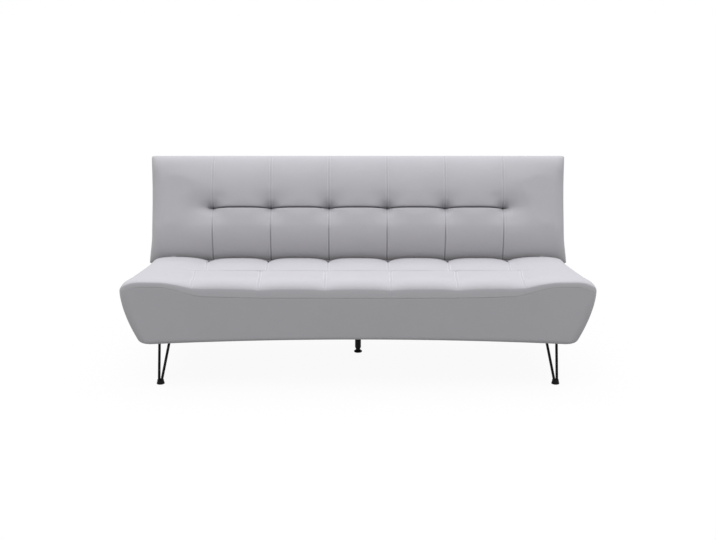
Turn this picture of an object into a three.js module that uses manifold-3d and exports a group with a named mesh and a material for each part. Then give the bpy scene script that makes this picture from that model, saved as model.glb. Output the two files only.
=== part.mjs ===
import * as THREE from 'three';
import { mergeVertices } from 'three/addons/utils/BufferGeometryUtils.js';
import Module from 'manifold-3d';

// Click clack sofa bed, millimetres, +Z up, front towards -Y.
// The seat frame measures y from the front seam of the seat. The backrest frame lies flat
// with its origin on the hinge pivot: y runs up the backrest and z out of its front face.

const wasm = await Module();
wasm.setup();

// Driving dimensions of the whole sofa
const seatHalfWidth = 932;
const seatDepth = 542;
const seatHeight = 400;
const backInset = 27;
const backHalfWidth = seatHalfWidth - backInset;
const backLength = 468;
const restLean = THREE.MathUtils.degToRad(18);
const fit = 0.3;

// Pivot of the click clack hinge: behind the seat's rear edge and below its top
const pivotSetback = 33;
const pivotDrop = 37;
const pivotY = seatDepth + pivotSetback;
const pivotZ = seatHeight - pivotDrop;
const backStart = 9;
const backEnd = backStart + backLength;

// Boards and boxes that both frames share
const railThickness = 22;
const sidePadding = 106;
const frameHalfWidth = seatHalfWidth - sidePadding;
const strapThickness = 2.4;
const strapWidth = 50;
const hingeInset = 26;
const hingePlaneX = frameHalfWidth - hingeInset;
const plateThickness = 4;

// Seat box heights, from the top of the seat down, and walls
const seatPadDepth = 70;
const seatRailHeight = 125;
const seatSeamDrop = 10;
const frontSeamDrop = 26;
const apronHeight = 222;
const beamDrop = 7;
const seatRailTop = seatHeight - seatPadDepth;
const seatRailFoot = seatRailTop - seatRailHeight;
const seatSeamHeight = seatHeight - seatSeamDrop;
const frontSeamHeight = seatHeight - frontSeamDrop;
const apronFoot = seatHeight - apronHeight;
const frontPadding = 38;
const rearPadding = 20;
const seatPadFoot = seatRailTop + strapThickness + 2 * fit;
const beamFoot = seatRailFoot - beamDrop;
const beamHeight = 38;
const beamTop = beamFoot + beamHeight;
const beamWidth = 80;
const rearOverhang = 148;
const beamEnd = seatDepth + rearOverhang;

// Backrest box: front seam, rear face and walls, measured from the pivot plane
const backSeamHeight = 22;
const backRearFace = -108;
const backRailGap = 6;
const backRailDepth = 72;
const backRailRear = backRearFace + backRailGap;
const backRailFront = backRailRear + backRailDepth;
const backPadding = 20;
const backPadFoot = backRailFront + strapThickness + 2 * fit;
const rearPanelThickness = 3;

// Overall depth: seat, pivot setback and the reach of the leaning backrest behind the pivot
const panelReach = rearPanelThickness + fit - backRearFace;
const backReach = panelReach * Math.cos(restLean) + backEnd * Math.sin(restLean);
const overallDepth = pivotY + backReach;

const smooth = (low, high, value) => THREE.MathUtils.smoothstep(value, low, high);

// From 0 at an edge to 1 at a radius inwards: a quarter ellipse, or squarer at a higher power
const rollOff = (distance, radius, power = 2) =>
  (1 - (1 - Math.min(distance / radius, 1)) ** power) ** (1 / power);

// Finishes
const finish = (color, roughness, metalness) => () =>
  new THREE.MeshStandardMaterial({ color, roughness, metalness });
const greyFabric = finish(0xb4b3b7, 0.85, 0);
const blackLining = finish(0x1c1c1e, 0.95, 0);
const webbing = finish(0x3a3733, 0.9, 0);
const timber = finish(0xc9a878, 0.7, 0);
const blackSteel = finish(0x111112, 0.45, 0.6);
const zincSteel = finish(0xa9abad, 0.35, 0.9);
const blackPlastic = finish(0x161616, 0.6, 0);

function named(name, geometry, material) {
  const mesh = new THREE.Mesh(geometry, material());
  mesh.name = name;
  return mesh;
}

// A closed geometry from corners and triangles, turned so that its faces point out
function closedGeometry(corners, triangles) {
  let volume = 0;
  for (const [a, b, c] of triangles) {
    const [p, q, r] = [corners[a], corners[b], corners[c]];
    volume += p[0] * (q[1] * r[2] - q[2] * r[1]);
    volume += p[1] * (q[2] * r[0] - q[0] * r[2]);
    volume += p[2] * (q[0] * r[1] - q[1] * r[0]);
  }
  const outward = volume > 0 ? triangles : triangles.map(([a, b, c]) => [a, c, b]);
  const geometry = new THREE.BufferGeometry();
  geometry.setAttribute('position', new THREE.Float32BufferAttribute(corners.flat(), 3));
  geometry.setIndex(outward.flat());
  return geometry;
}

// A loft through closed sections that have the same number of corners, capped at both ends
function loft(sections) {
  const count = sections[0].length;
  const corners = sections.flat();
  const triangles = [];
  for (let i = 0; i + 1 < sections.length; i += 1) {
    for (let j = 0; j < count; j += 1) {
      const next = (j + 1) % count;
      const [a, b] = [i * count + j, i * count + next];
      const [c, d] = [a + count, b + count];
      triangles.push([a, b, d], [a, d, c]);
    }
  }
  const last = (sections.length - 1) * count;
  for (let j = 1; j + 1 < count; j += 1) {
    triangles.push([0, j + 1, j], [last, last + j, last + j + 1]);
  }
  return closedGeometry(corners, triangles);
}

function toSolid(geometry) {
  const bare = geometry.clone();
  for (const name of Object.keys(bare.attributes)) {
    if (name !== 'position') bare.deleteAttribute(name);
  }
  const merged = mergeVertices(bare, fit / 100);
  const vertProperties = new Float32Array(merged.attributes.position.array);
  const triVerts = new Uint32Array(merged.index.array);
  return new wasm.Manifold(new wasm.Mesh({ numProp: 3, vertProperties, triVerts }));
}

function toGeometry(solid) {
  const { vertProperties, triVerts } = solid.getMesh();
  const geometry = new THREE.BufferGeometry();
  geometry.setAttribute('position', new THREE.Float32BufferAttribute(vertProperties, 3));
  geometry.setIndex(Array.from(triVerts));
  return geometry;
}

const cutBy = (body, tools) =>
  toGeometry(tools.reduce((rest, tool) => rest.subtract(toSolid(tool)), toSolid(body)));
const join = (pieces) =>
  toGeometry(pieces.slice(1).reduce((rest, piece) => rest.add(toSolid(piece)), toSolid(pieces[0])));

// A box between two corners
function board([x0, y0, z0], [x1, y1, z1]) {
  const geometry = new THREE.BoxGeometry(x1 - x0, y1 - y0, z1 - z0);
  return geometry.translate((x0 + x1) / 2, (y0 + y1) / 2, (z0 + z1) / 2);
}

// A flat outline extruded upwards from a height
function slab(points, low, high) {
  const shape = new THREE.Shape(points.map(([x, y]) => new THREE.Vector2(x, y)));
  const geometry = new THREE.ExtrudeGeometry(shape, { depth: high - low, bevelEnabled: false });
  return geometry.translate(0, 0, low);
}

// Sewn pads. A pad is a grid of columns across and rows along it: its top swells between the
// sewn seams, rolls off to a seam all round, and its body below stands inside the border.

// Panel layout: five sewn panels with an open end panel on each side
const sewnPanels = 5;
const panelColumnShares = [0, 0.07, 0.25, 0.5, 0.75, 0.93];
const endColumnShares = [0.1, 0.35, 0.65, 0.9];
const cornerColumnShares = [0, 0.25, 0.5, 0.75, 1];
const padRowShares = [0, 0.006, 0.03, 0.09, 0.2, 0.42, 0.75];
const foldRowShares = [-0.04, -0.015, 0, 0.015, 0.06];
const swellPower = 3;

// Signed column places at the pad's near edge, from the left corner to the right one
function padColumns(pad) {
  const outerSeam = (sewnPanels / 2) * pad.panelPitch;
  const straightEnd = pad.halfWidth - pad.cornerRadius;
  const right = [];
  for (const share of endColumnShares) right.push(outerSeam + share * (straightEnd - outerSeam));
  for (const share of cornerColumnShares) {
    right.push(straightEnd + pad.cornerRadius * Math.sin((share * Math.PI) / 2));
  }
  const middle = [];
  for (let panel = 0; panel < sewnPanels; panel += 1) {
    for (const share of panelColumnShares) middle.push(-outerSeam + (panel + share) * pad.panelPitch);
  }
  const left = right.map((x) => -x).reverse();
  return [...left, ...middle, outerSeam, ...right];
}

// Row shares from the near edge to the far one, closer together at both edges and at the fold
function padRows(pad) {
  const near = padRowShares.map((share) => share * pad.foldShare);
  const far = padRowShares.map((share) => 1 - share * (1 - pad.foldShare)).reverse();
  return [...near, ...foldRowShares.map((share) => pad.foldShare + share), ...far];
}

// How far in from the near edge a column starts, because the pad's front corners are round
function cornerInset(pad, x) {
  const past = Math.max(Math.abs(x) - (pad.halfWidth - pad.cornerRadius), 0);
  return pad.cornerRadius - Math.sqrt(Math.max(pad.cornerRadius ** 2 - past ** 2, 0));
}

// Height of the pad's top before it rolls off at the edges
function padTop(pad, x, along) {
  const outerSeam = (sewnPanels / 2) * pad.panelPitch;
  const across = Math.abs(x);
  const offset = (across / pad.panelPitch + sewnPanels / 2) % 1;
  const sewn = across < outerSeam ? Math.abs(2 * offset - 1) : 1 - (across - outerSeam) / pad.panelPitch;
  const seamDip = pad.seamDip * Math.max(sewn, 0) ** swellPower;
  const pastFold = along - pad.foldShare * pad.depth;
  const fold = Math.abs(pastFold);
  const foldFade = 1 - smooth(outerSeam, outerSeam + pad.foldFade, across);
  const foldDip = pad.foldDip * Math.exp(-fold / (pastFold < 0 ? pad.foldNear : pad.foldFar)) * foldFade;
  const pull = across < outerSeam + pad.pullRadius ? Math.max(sewn, 0) ** (2 * swellPower) : 0;
  const pullDip = pad.pullDip * pull * Math.max(1 - fold / pad.pullRadius, 0) ** 2;
  return pad.crown(across, along) - seamDip - foldDip - pullDip;
}

// The grid point of a pad: column place at the near edge, row share
function padPoint(pad, column, share) {
  const outerSeam = (sewnPanels / 2) * pad.panelPitch;
  const inset = cornerInset(pad, column);
  const along = inset + share * (pad.depth - inset);
  const width = pad.widthAt(along);
  const across = Math.abs(column);
  const stretch = across <= outerSeam ? 0 : (across - outerSeam) / (pad.halfWidth - outerSeam);
  const reach = across <= outerSeam ? across : outerSeam + stretch * (width - outerSeam);
  const x = Math.sign(column) * reach;
  const seam = pad.seamAt(across, share);
  const near = share * (pad.depth - inset);
  const face = pad.nearFaceShare(across);
  const nearRoll = rollOff(near, pad.nearFaceDepth) * THREE.MathUtils.lerp(face, 1,
    rollOff(near, pad.nearRoll(across), pad.nearRollPower));
  const farRoll = rollOff((1 - share) * (pad.depth - inset), pad.farRoll, pad.farRollPower);
  const sideRoll = rollOff(width - reach, pad.sideRoll);
  const rise = padTop(pad, x, along) - seam;
  return [x, pad.start + pad.towards * along, seam + rise * nearRoll * farRoll * sideRoll];
}

// The pad's inner outline, inside the border, for a point of its outer outline. It keeps the
// column's place up to squareTo. The outset moves it outwards, to the border's inner face.
function padInner(pad, [x, y], outset = 0) {
  const chamfer = pad.cornerRadius * (1 - Math.SQRT1_2);
  const along = (y - pad.start) * pad.towards;
  const yShare = THREE.MathUtils.clamp((along - chamfer) / (pad.depth - chamfer), 0, 1);
  const halfRim = pad.widthAt(along) - chamfer * (1 - yShare);
  const past = (Math.abs(x) - pad.squareTo) / (halfRim - pad.squareTo);
  const reach = THREE.MathUtils.lerp(pad.squareTo, frameHalfWidth + outset, Math.min(past, 1));
  const near = pad.nearPadding - outset;
  const inner = near + yShare * (pad.depth - pad.farPadding - near);
  return [past > 0 ? Math.sign(x) * reach : x, pad.start + pad.towards * inner];
}

function sewnPad(pad) {
  const columns = padColumns(pad);
  const rows = padRows(pad);
  const corners = [];
  for (const share of rows) for (const column of columns) corners.push(padPoint(pad, column, share));
  const triangles = [];
  const at = (row, column) => row * columns.length + column;
  for (let i = 0; i + 1 < rows.length; i += 1) {
    for (let j = 0; j + 1 < columns.length; j += 1) {
      triangles.push([at(i, j), at(i, j + 1), at(i + 1, j + 1)]);
      triangles.push([at(i, j), at(i + 1, j + 1), at(i + 1, j)]);
    }
  }
  const rim = [];
  for (let j = 0; j + 1 < columns.length; j += 1) rim.push(at(0, j));
  for (let i = 0; i + 1 < rows.length; i += 1) rim.push(at(i, columns.length - 1));
  for (let j = columns.length - 1; j > 0; j -= 1) rim.push(at(rows.length - 1, j));
  for (let i = rows.length - 1; i > 0; i -= 1) rim.push(at(i, 0));
  const ledge = rim.map((corner) => {
    const [x, y] = padInner(pad, corners[corner]);
    corners.push([x, y, corners[corner][2]]);
    return corners.length - 1;
  });
  const foot = ledge.map((corner) => {
    corners.push([corners[corner][0], corners[corner][1], pad.foot]);
    return corners.length - 1;
  });
  for (const [outer, inner] of [[rim, ledge], [ledge, foot]]) {
    outer.forEach((corner, k) => {
      const next = (k + 1) % outer.length;
      triangles.push([corner, inner[k], inner[next]], [corner, inner[next], outer[next]]);
    });
  }
  const outline = foot.map((corner) => new THREE.Vector2(corners[corner][0], corners[corner][1]));
  const reversed = THREE.ShapeUtils.isClockWise(outline);
  for (const [a, b, c] of THREE.ShapeUtils.triangulateShape(outline, [])) {
    triangles.push(reversed ? [foot[a], foot[b], foot[c]] : [foot[a], foot[c], foot[b]]);
  }
  return closedGeometry(corners, triangles);
}

// Seat pad: the end panels rise in front like shallow wings, and the plan tapers to the rear.
// Its crown is highest behind the front roll and slopes down to the rear.
const wing = { inset: 152, run: 190, seamRise: 38, topRise: 6, fadeShare: 0.2 };
const wingLead = { start: 350, end: 650, rise: 6 };
const wingFall = { start: 840, end: 950, drop: 28 };
const wingPeak = seatHalfWidth - wing.inset;
const wingStart = wingPeak - wing.run;
const seatCrown = { front: 42, rear: 2 };
const seatRoll = { middle: 85, wing: 30, middleFaceShare: 0.36, wingFaceShare: 0.48 };
const endPanels = { seat: 287, back: 275 };
const rimBand = 46;
const sideTaper = 50;

function frontSeamAt(across) {
  const lead = wingLead.rise * smooth(wingLead.start, wingLead.end, across);
  const rise = wing.seamRise * smooth(wingStart, wingPeak, across);
  const fall = wingFall.drop * smooth(wingFall.start, wingFall.end, across);
  return frontSeamHeight + lead + rise - fall;
}

const seatPad = {
  squareTo: frameHalfWidth - rimBand,
  start: 0,
  towards: 1,
  depth: seatDepth,
  halfWidth: seatHalfWidth,
  cornerRadius: 40,
  panelPitch: (2 * (seatHalfWidth - endPanels.seat)) / sewnPanels,
  foldShare: 0.49,
  foldNear: 14,
  foldFar: 14,
  foldFade: 60,
  foldDip: 6,
  seamDip: 9,
  pullDip: 3,
  pullRadius: 40,
  nearFaceShare: (across) => THREE.MathUtils.lerp(seatRoll.middleFaceShare, seatRoll.wingFaceShare,
    smooth(wingStart, wingPeak, across)),
  nearFaceDepth: 2,
  nearRoll: (across) => THREE.MathUtils.lerp(seatRoll.middle, seatRoll.wing,
    smooth(wingStart, wingPeak, across)),
  nearRollPower: 2.2,
  farRoll: 16,
  farRollPower: 2,
  sideRoll: 85,
  foot: seatPadFoot,
  nearPadding: frontPadding,
  farPadding: rearPadding,
  widthAt: (along) => seatHalfWidth - (sideTaper * along) / seatDepth,
  seamAt: (across, share) => {
    const back = smooth(0, wing.fadeShare, share);
    return THREE.MathUtils.lerp(frontSeamAt(across), seatSeamHeight, back);
  },
  crown: (across, along) => {
    const back = THREE.MathUtils.clamp((along - seatRoll.middle) / (seatDepth - seatRoll.middle), 0, 1);
    const rise = THREE.MathUtils.lerp(seatCrown.front, seatCrown.rear, back);
    return seatHeight + rise + wing.topRise * smooth(wingStart, wingPeak, across);
  },
};

// Backrest pad: its near edge is the top one, and its sides draw in a little at mid length.
// Its seam stands off the pivot plane at the top and comes down to that plane at the bottom.
const backPinch = 6;
const backCrown = { middle: 90, end: 60, fadeStart: 550, fadeEnd: 880 };
const backRoll = { middle: 168, end: 98, fadeStart: 600, fadeEnd: 850 };
const seamFallShare = 0.55;
const backPad = {
  squareTo: frameHalfWidth - rimBand,
  start: backEnd,
  towards: -1,
  depth: backLength,
  halfWidth: backHalfWidth,
  cornerRadius: 10,
  panelPitch: (2 * (backHalfWidth - endPanels.back)) / sewnPanels,
  foldShare: 0.508,
  foldNear: 6,
  foldFar: 22,
  foldFade: 100,
  foldDip: 24,
  seamDip: 6,
  pullDip: 10,
  pullRadius: 70,
  nearFaceShare: () => 0,
  nearFaceDepth: fit,
  nearRoll: (across) => THREE.MathUtils.lerp(backRoll.middle, backRoll.end,
    smooth(backRoll.fadeStart, backRoll.fadeEnd, across)),
  nearRollPower: 2,
  farRoll: 150,
  farRollPower: 1.7,
  sideRoll: 45,
  foot: backPadFoot,
  nearPadding: backPadding,
  farPadding: backPadding,
  widthAt: (along) => backHalfWidth - backPinch * (1 - (2 * along / backLength - 1) ** 2),
  seamAt: (across, share) => backSeamHeight * (1 - smooth(seamFallShare, 1, share)),
  crown: (across) => THREE.MathUtils.lerp(backCrown.middle, backCrown.end,
    smooth(backCrown.fadeStart, backCrown.fadeEnd, across)),
};

// Seat borders: padded walls that flare outwards to the seat's seam, rounded at the foot
const wallRowShares = [0, 0.03, 0.1, 0.28, 0.5, 0.75, 1];
const apron = { footInset: 70, slant: 12, footRound: 14, footRoundShare: 0.1, arch: 21 };
const flarePower = 1.7;
const apronFootHalfWidth = seatHalfWidth - apron.footInset;

function apronInset(share, halfWidth) {
  const round = apron.footRound * (1 - Math.min(share / apron.footRoundShare, 1)) ** 2;
  const flare = (halfWidth - apronFootHalfWidth) * (1 - share) ** flarePower;
  return { side: flare + round, front: apron.slant * (1 - share) + round };
}

// One section through a seat wall below a point of the seat pad's rim
function wallSection([x, y, seam], gap) {
  const straightEnd = seatPad.halfWidth - seatPad.cornerRadius;
  const across = Math.abs(x);
  const foot = apronFoot + apron.arch * Math.max(1 - (across / seatPad.halfWidth) ** 2, 0);
  const frontFade = 1 - Math.max(y - seatPad.cornerRadius, 0) / seatDepth;
  const inFront = y < seatPad.cornerRadius && across < straightEnd;
  const outer = wallRowShares.map((share) => {
    const inset = apronInset(share, seatPad.widthAt(y));
    const reach = inFront ? across * (1 - inset.side / straightEnd) : across - inset.side;
    const height = THREE.MathUtils.lerp(foot, seam - fit, share);
    return [Math.sign(x) * reach, y + inset.front * frontFade, height];
  });
  const [innerX, innerY] = padInner(seatPad, [x, y], fit);
  return [...outer, [innerX, innerY + gap, seam - fit], [innerX, innerY + gap, foot]];
}

function seatBorderFront() {
  const limit = seatPad.halfWidth - seatPad.cornerRadius * (1 - Math.SQRT1_2) + fit / 2;
  const columns = padColumns(seatPad).filter((x) => Math.abs(x) < limit);
  return loft(columns.map((x) => wallSection(padPoint(seatPad, x, 0), 0)));
}

function seatBorderSide(side) {
  const { halfWidth, cornerRadius } = seatPad;
  const mitre = Math.PI / 4 + fit / cornerRadius;
  const turn = halfWidth - cornerRadius + cornerRadius * Math.sin(mitre);
  const corner = padColumns(seatPad).filter((x) => x > turn && x < halfWidth);
  const rim = [turn, ...corner].map((x) => padPoint(seatPad, side * x, 0));
  for (const share of padRows(seatPad)) rim.push(padPoint(seatPad, side * halfWidth, share));
  const sections = rim.map((point, i) => wallSection(point, i === 0 ? fit : 0));
  return loft(side > 0 ? sections : sections.reverse());
}

// Slots where the hinge arms pass through the borders
const slotClearance = 5;
const slotLow = hingePlaneX - plateThickness - slotClearance;
const slotHigh = hingePlaneX + plateThickness + slotClearance;
const overrun = 20;

const slotBoxes = ([y0, z0], [y1, z1]) =>
  [-1, 1].map((side) => {
    const xs = [side * slotLow, side * slotHigh].sort((a, b) => a - b);
    return board([xs[0], y0, z0], [xs[1], y1, z1]);
  });

function seatBorderRear() {
  const inner = seatDepth - rearPadding + fit;
  const wall = board([-frameHalfWidth, inner, beamTop + fit],
    [frameHalfWidth, seatDepth, seatSeamHeight - fit]);
  return cutBy(wall, slotBoxes([inner - overrun, beamTop - overrun], [seatDepth + overrun, pivotZ]));
}

// Backrest borders: boxing walls behind the pad's seam, mitred where they meet
function boxingSection([x, y, seam], gap) {
  const [innerX, innerY] = padInner(backPad, [x, y], fit);
  return [[x, y, backRearFace], [x, y, seam - fit], [innerX, innerY - gap, seam - fit],
    [innerX, innerY - gap, backRearFace]];
}

function backBorderTop() {
  const limit = backPad.halfWidth - backPad.cornerRadius * (1 - Math.SQRT1_2) + fit / 2;
  const columns = padColumns(backPad).filter((x) => Math.abs(x) < limit);
  return loft(columns.map((x) => boxingSection(padPoint(backPad, x, 0), 0)));
}

function backBorderSide(side) {
  const { halfWidth, cornerRadius } = backPad;
  const turn = halfWidth - cornerRadius + cornerRadius * Math.sin(Math.PI / 4 + fit / cornerRadius);
  const corner = padColumns(backPad).filter((x) => x > turn && x < halfWidth);
  const rim = [turn, ...corner].map((x) => padPoint(backPad, side * x, 0));
  const shares = padRows(backPad).map((share) => Math.min(share, 1 - fit / backLength));
  for (const share of shares) rim.push(padPoint(backPad, side * halfWidth, share));
  const sections = rim.map((point, i) => boxingSection(point, i === 0 ? fit : 0));
  return loft(side > 0 ? sections : sections.reverse());
}

function backBorderBottom() {
  const wall = loft(padColumns(backPad).map((x) => boxingSection(padPoint(backPad, x, 1), fit)));
  const slotFoot = backArm.elbow[1] - backArm.barRadius - slotClearance;
  const high = backSeamHeight + overrun;
  return cutBy(wall, slotBoxes([backStart - overrun, slotFoot], [backStart + backPadding + overrun, high]));
}

// The backrest pad, notched at its lower edge for the eyes of the hinge arms
function notchedBackPad() {
  const reach = backArm.eyeRadius + slotClearance;
  return cutBy(sewnPad(backPad), slotBoxes([backStart - overrun, -overrun], [reach, reach]));
}

function backRearPanel() {
  const corner = padColumns(backPad).filter((x) => x >= backHalfWidth - backPad.cornerRadius);
  const places = corner.map((x) => [x, 0]);
  for (const share of padRows(backPad)) places.push([backHalfWidth, share]);
  places.splice(corner.length, 1);
  const right = places.map(([x, share]) => padPoint(backPad, x, share).slice(0, 2));
  const left = right.map(([x, y]) => [-x, y]).reverse();
  return slab([...right, ...left], backRearFace - fit - rearPanelThickness, backRearFace - fit);
}

// Timber seat frame on the base beams
const seatInnerEnd = seatDepth - rearPadding;
const sideRailInner = hingePlaneX + plateThickness + 2 * fit;
const crossRailEnd = hingePlaneX - plateThickness - slotClearance;

const seatRailFront = () => board([-frameHalfWidth, frontPadding, seatRailFoot],
  [frameHalfWidth, frontPadding + railThickness, seatRailTop]);
const seatRailRear = () => board([-crossRailEnd, seatInnerEnd - railThickness, beamTop + fit],
  [crossRailEnd, seatInnerEnd, seatRailTop]);

function seatRailSide(side) {
  const xs = [side * sideRailInner, side * frameHalfWidth].sort((a, b) => a - b);
  return board([xs[0], frontPadding + railThickness + fit, seatRailFoot],
    [xs[1], seatInnerEnd, seatRailTop]);
}

// Low base: beams that carry the legs and run on behind the seat
const baseFront = frontPadding + railThickness + fit;
const beamOuter = sideRailInner - fit;
const beamInner = beamOuter - beamWidth;

function baseBeamSide(side) {
  const xs = [side * beamInner, side * beamOuter].sort((a, b) => a - b);
  return board([xs[0], baseFront, beamFoot], [xs[1], beamEnd, beamTop]);
}

const rearBeamDepth = 60;
const baseBeamRear = () => board([fit - beamInner, beamEnd - rearBeamDepth, beamFoot],
  [beamInner - fit, beamEnd, beamTop]);
const baseBeamCentre = () => board([-beamWidth / 2, baseFront, beamFoot],
  [beamWidth / 2, beamEnd - rearBeamDepth - fit, beamTop]);

// Dust cover: a thin lining stretched under the seat rails on each side of the centre beam
const liningThickness = 1.5;

function dustCover(side) {
  const xs = [side * (beamWidth / 2 + fit), side * (beamInner - fit)].sort((a, b) => a - b);
  const top = seatRailFoot - fit;
  return board([xs[0], frontPadding, top - liningThickness], [xs[1], seatDepth, top]);
}

// Webbing straps stapled across the rails under each pad
const seatStraps = 6;
const backStraps = 5;

function strap(place, [y0, y1], railFace) {
  return board([place - strapWidth / 2, y0, railFace + fit],
    [place + strapWidth / 2, y1, railFace + fit + strapThickness]);
}

// Timber backrest frame
const backSideRailInner = hingePlaneX + fit;
const backFrameStart = backStart + backPadding + fit;
const backFrameEnd = backEnd - backPadding - fit;

const backRailCross = (y0, y1, end) => board([-end, y0, backRailRear], [end, y1, backRailFront]);

function backRailSide(side) {
  const xs = [side * backSideRailInner, side * frameHalfWidth].sort((a, b) => a - b);
  return board([xs[0], backFrameStart, backRailRear], [xs[1], backFrameEnd, backRailFront]);
}

const stileWidth = 60;
const backCentreStile = () => board(
  [-stileWidth / 2, backFrameStart + railThickness + fit, backRailRear],
  [stileWidth / 2, backFrameEnd - railThickness - fit, backRailFront]);

// Click clack hinge. Its plates lie in planes square to X, drawn with x forwards to the
// rear and y up, and are turned into place by this basis.
const hingeBasis = new THREE.Matrix4().set(0, 0, 1, 0, 1, 0, 0, 0, 0, 1, 0, 0, 0, 0, 0, 1);
const curveSegments = 6;
const rivetRadius = 5.9;
const rivetHole = 6.3;
const screwRadius = 3.2;
const screwHeadRadius = 6;
const screwHeadHeight = 2.6;
const backArm = { eyeRadius: 22, elbow: [14, -60], end: [220, -66], barRadius: 13, screws: 3 };
const seatArm = { eyeRadius: 18, elbow: [-40, -98], end: [-230, -102], barRadius: 13, screws: 3 };
const sector = { crest: 29.5, root: 25, teeth: 8, start: 122, pitch: 12.75, rampShare: 0.85 };
const pawl = { pivot: [-26, -52], nose: [-27.4, -19.2], eyeRadius: 7, noseRadius: 3, hole: 4.3, pin: 3.9 };
const rivetHead = { radius: 10, pawlRadius: 6.5, height: 2.5 };

// A bar with round ends between two points
function barGeometry(a, b, radiusA, radiusB, thickness) {
  const start = new THREE.Vector2(...a);
  const end = new THREE.Vector2(...b);
  const angle = end.clone().sub(start).angle();
  const lean = Math.acos((radiusA - radiusB) / end.distanceTo(start));
  const shape = new THREE.Shape();
  shape.absarc(start.x, start.y, radiusA, angle + lean, angle - lean + 2 * Math.PI, false);
  shape.absarc(end.x, end.y, radiusB, angle - lean, angle + lean, false);
  return new THREE.ExtrudeGeometry(shape, { depth: thickness, bevelEnabled: false, curveSegments });
}

// A round pin or cutter along the plates' thickness
function roundPin([x, y], radius, low, high) {
  const sides = 2 * curveSegments + 4;
  const geometry = new THREE.CylinderGeometry(radius, radius, high - low, sides);
  return geometry.rotateX(Math.PI / 2).translate(x, y, (low + high) / 2);
}

// Ratchet teeth round the pivot, each with a steep face and a long ramp
function sectorGeometry() {
  const points = [];
  const polar = (radius, degrees) => {
    const angle = THREE.MathUtils.degToRad(degrees);
    points.push(new THREE.Vector2(radius * Math.cos(angle), radius * Math.sin(angle)));
  };
  for (let tooth = 0; tooth < sector.teeth; tooth += 1) {
    const from = sector.start + tooth * sector.pitch;
    polar(sector.root, from);
    polar(sector.crest, from);
    polar(sector.root, from + sector.rampShare * sector.pitch);
  }
  polar(sector.root, sector.start + sector.teeth * sector.pitch);
  const rest = (360 - sector.teeth * sector.pitch) / (2 * curveSegments);
  for (let i = 1; i < 2 * curveSegments; i += 1) {
    polar(backArm.eyeRadius, sector.start + sector.teeth * sector.pitch + i * rest);
  }
  const shape = new THREE.Shape(points);
  return new THREE.ExtrudeGeometry(shape, { depth: plateThickness, bevelEnabled: false });
}

// A cranked arm: eye to elbow to end, with its screws on the inner face along the bar
function armGeometry(arm, extra) {
  const elbow = barGeometry([0, 0], arm.elbow, arm.eyeRadius, arm.barRadius, plateThickness);
  const bar = barGeometry(arm.elbow, arm.end, arm.barRadius, arm.barRadius, plateThickness);
  const heads = [];
  for (let i = 0; i < arm.screws; i += 1) {
    const share = (i + 0.5) / arm.screws;
    const place = arm.elbow.map((from, k) => THREE.MathUtils.lerp(from, arm.end[k], share));
    heads.push(roundPin(place, screwHeadRadius, -screwHeadHeight, screwHeadHeight));
  }
  const body = join([elbow, bar, ...extra, ...heads]);
  return cutBy(body, [roundPin([0, 0], rivetHole, -plateThickness, 2 * plateThickness)]);
}

// The same piece for the other side of the sofa
function mirrored(geometry) {
  const bare = geometry.clone();
  for (const name of Object.keys(bare.attributes)) {
    if (name !== 'position') bare.deleteAttribute(name);
  }
  const flipped = mergeVertices(bare, fit / 100).scale(-1, 1, 1);
  const corners = Array.from(flipped.index.array);
  const turned = corners.map((corner, i) => corners[i - (i % 3) + 2 - (i % 3)]);
  flipped.setIndex(turned);
  return flipped;
}

// Turns a hinge piece into its plane, with its inner face at a height from the middle plane
function hingePlace(geometry, side, innerFace, [y, z]) {
  const placed = geometry.clone().translate(0, 0, innerFace).applyMatrix4(hingeBasis);
  placed.translate(0, y, z);
  return side > 0 ? placed : mirrored(placed);
}

const seatPlateFace = hingePlaneX + fit / 2;
const backPlateFace = hingePlaneX - fit / 2 - plateThickness;
const pivotPlace = [pivotY, pivotZ];

function hingeSeatPlate(side) {
  const arm = armGeometry(seatArm, []);
  const drilled = cutBy(arm, [roundPin(pawl.pivot, pawl.hole, -plateThickness, 2 * plateThickness)]);
  return hingePlace(drilled, side, seatPlateFace, pivotPlace);
}

const hingeBackPlate = (side) =>
  hingePlace(armGeometry(backArm, [sectorGeometry()]), side, backPlateFace, [0, 0]);

function ratchetPawl(side) {
  const body = barGeometry(pawl.pivot, pawl.nose, pawl.eyeRadius, pawl.noseRadius, plateThickness);
  const drilled = cutBy(body, [roundPin(pawl.pivot, pawl.hole, -plateThickness, 2 * plateThickness)]);
  return hingePlace(drilled, side, backPlateFace, pivotPlace);
}

// A rivet through both plates, with a head on each side
function rivet(side, place, shaft, head) {
  const inner = -fit;
  const outer = 2 * plateThickness + 2 * fit;
  const pieces = [roundPin(place, shaft, inner - rivetHead.height / 2, outer + rivetHead.height / 2),
    roundPin(place, head, inner - rivetHead.height, inner),
    roundPin(place, head, outer, outer + rivetHead.height)];
  return hingePlace(join(pieces), side, backPlateFace, pivotPlace);
}

// Legs. Each hairpin leg is one rod bent at the foot and welded to a plate under the beam.
const leg = { rodRadius: 4.5, footInset: 8.5, frontY: 66, rearInset: 26 };
const legBend = { halfWidth: 7.5, top: 18, low: 5 };
const legTop = { spread: 45, outset: 5, outerReach: 54, innerReach: 20 };
const legX = hingePlaneX - leg.footInset;
const legPlate = { thickness: 3, rounding: 14, screwRadius: 5, screwHeight: 2.5 };
const rodSides = 8;
const rodSteps = 18;
const plateTop = beamFoot - fit;
const footGlide = { radius: 16, rim: 3, waist: 14, height: 18, socket: 1.6, floor: 6 };
const glideSides = 16;

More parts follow.
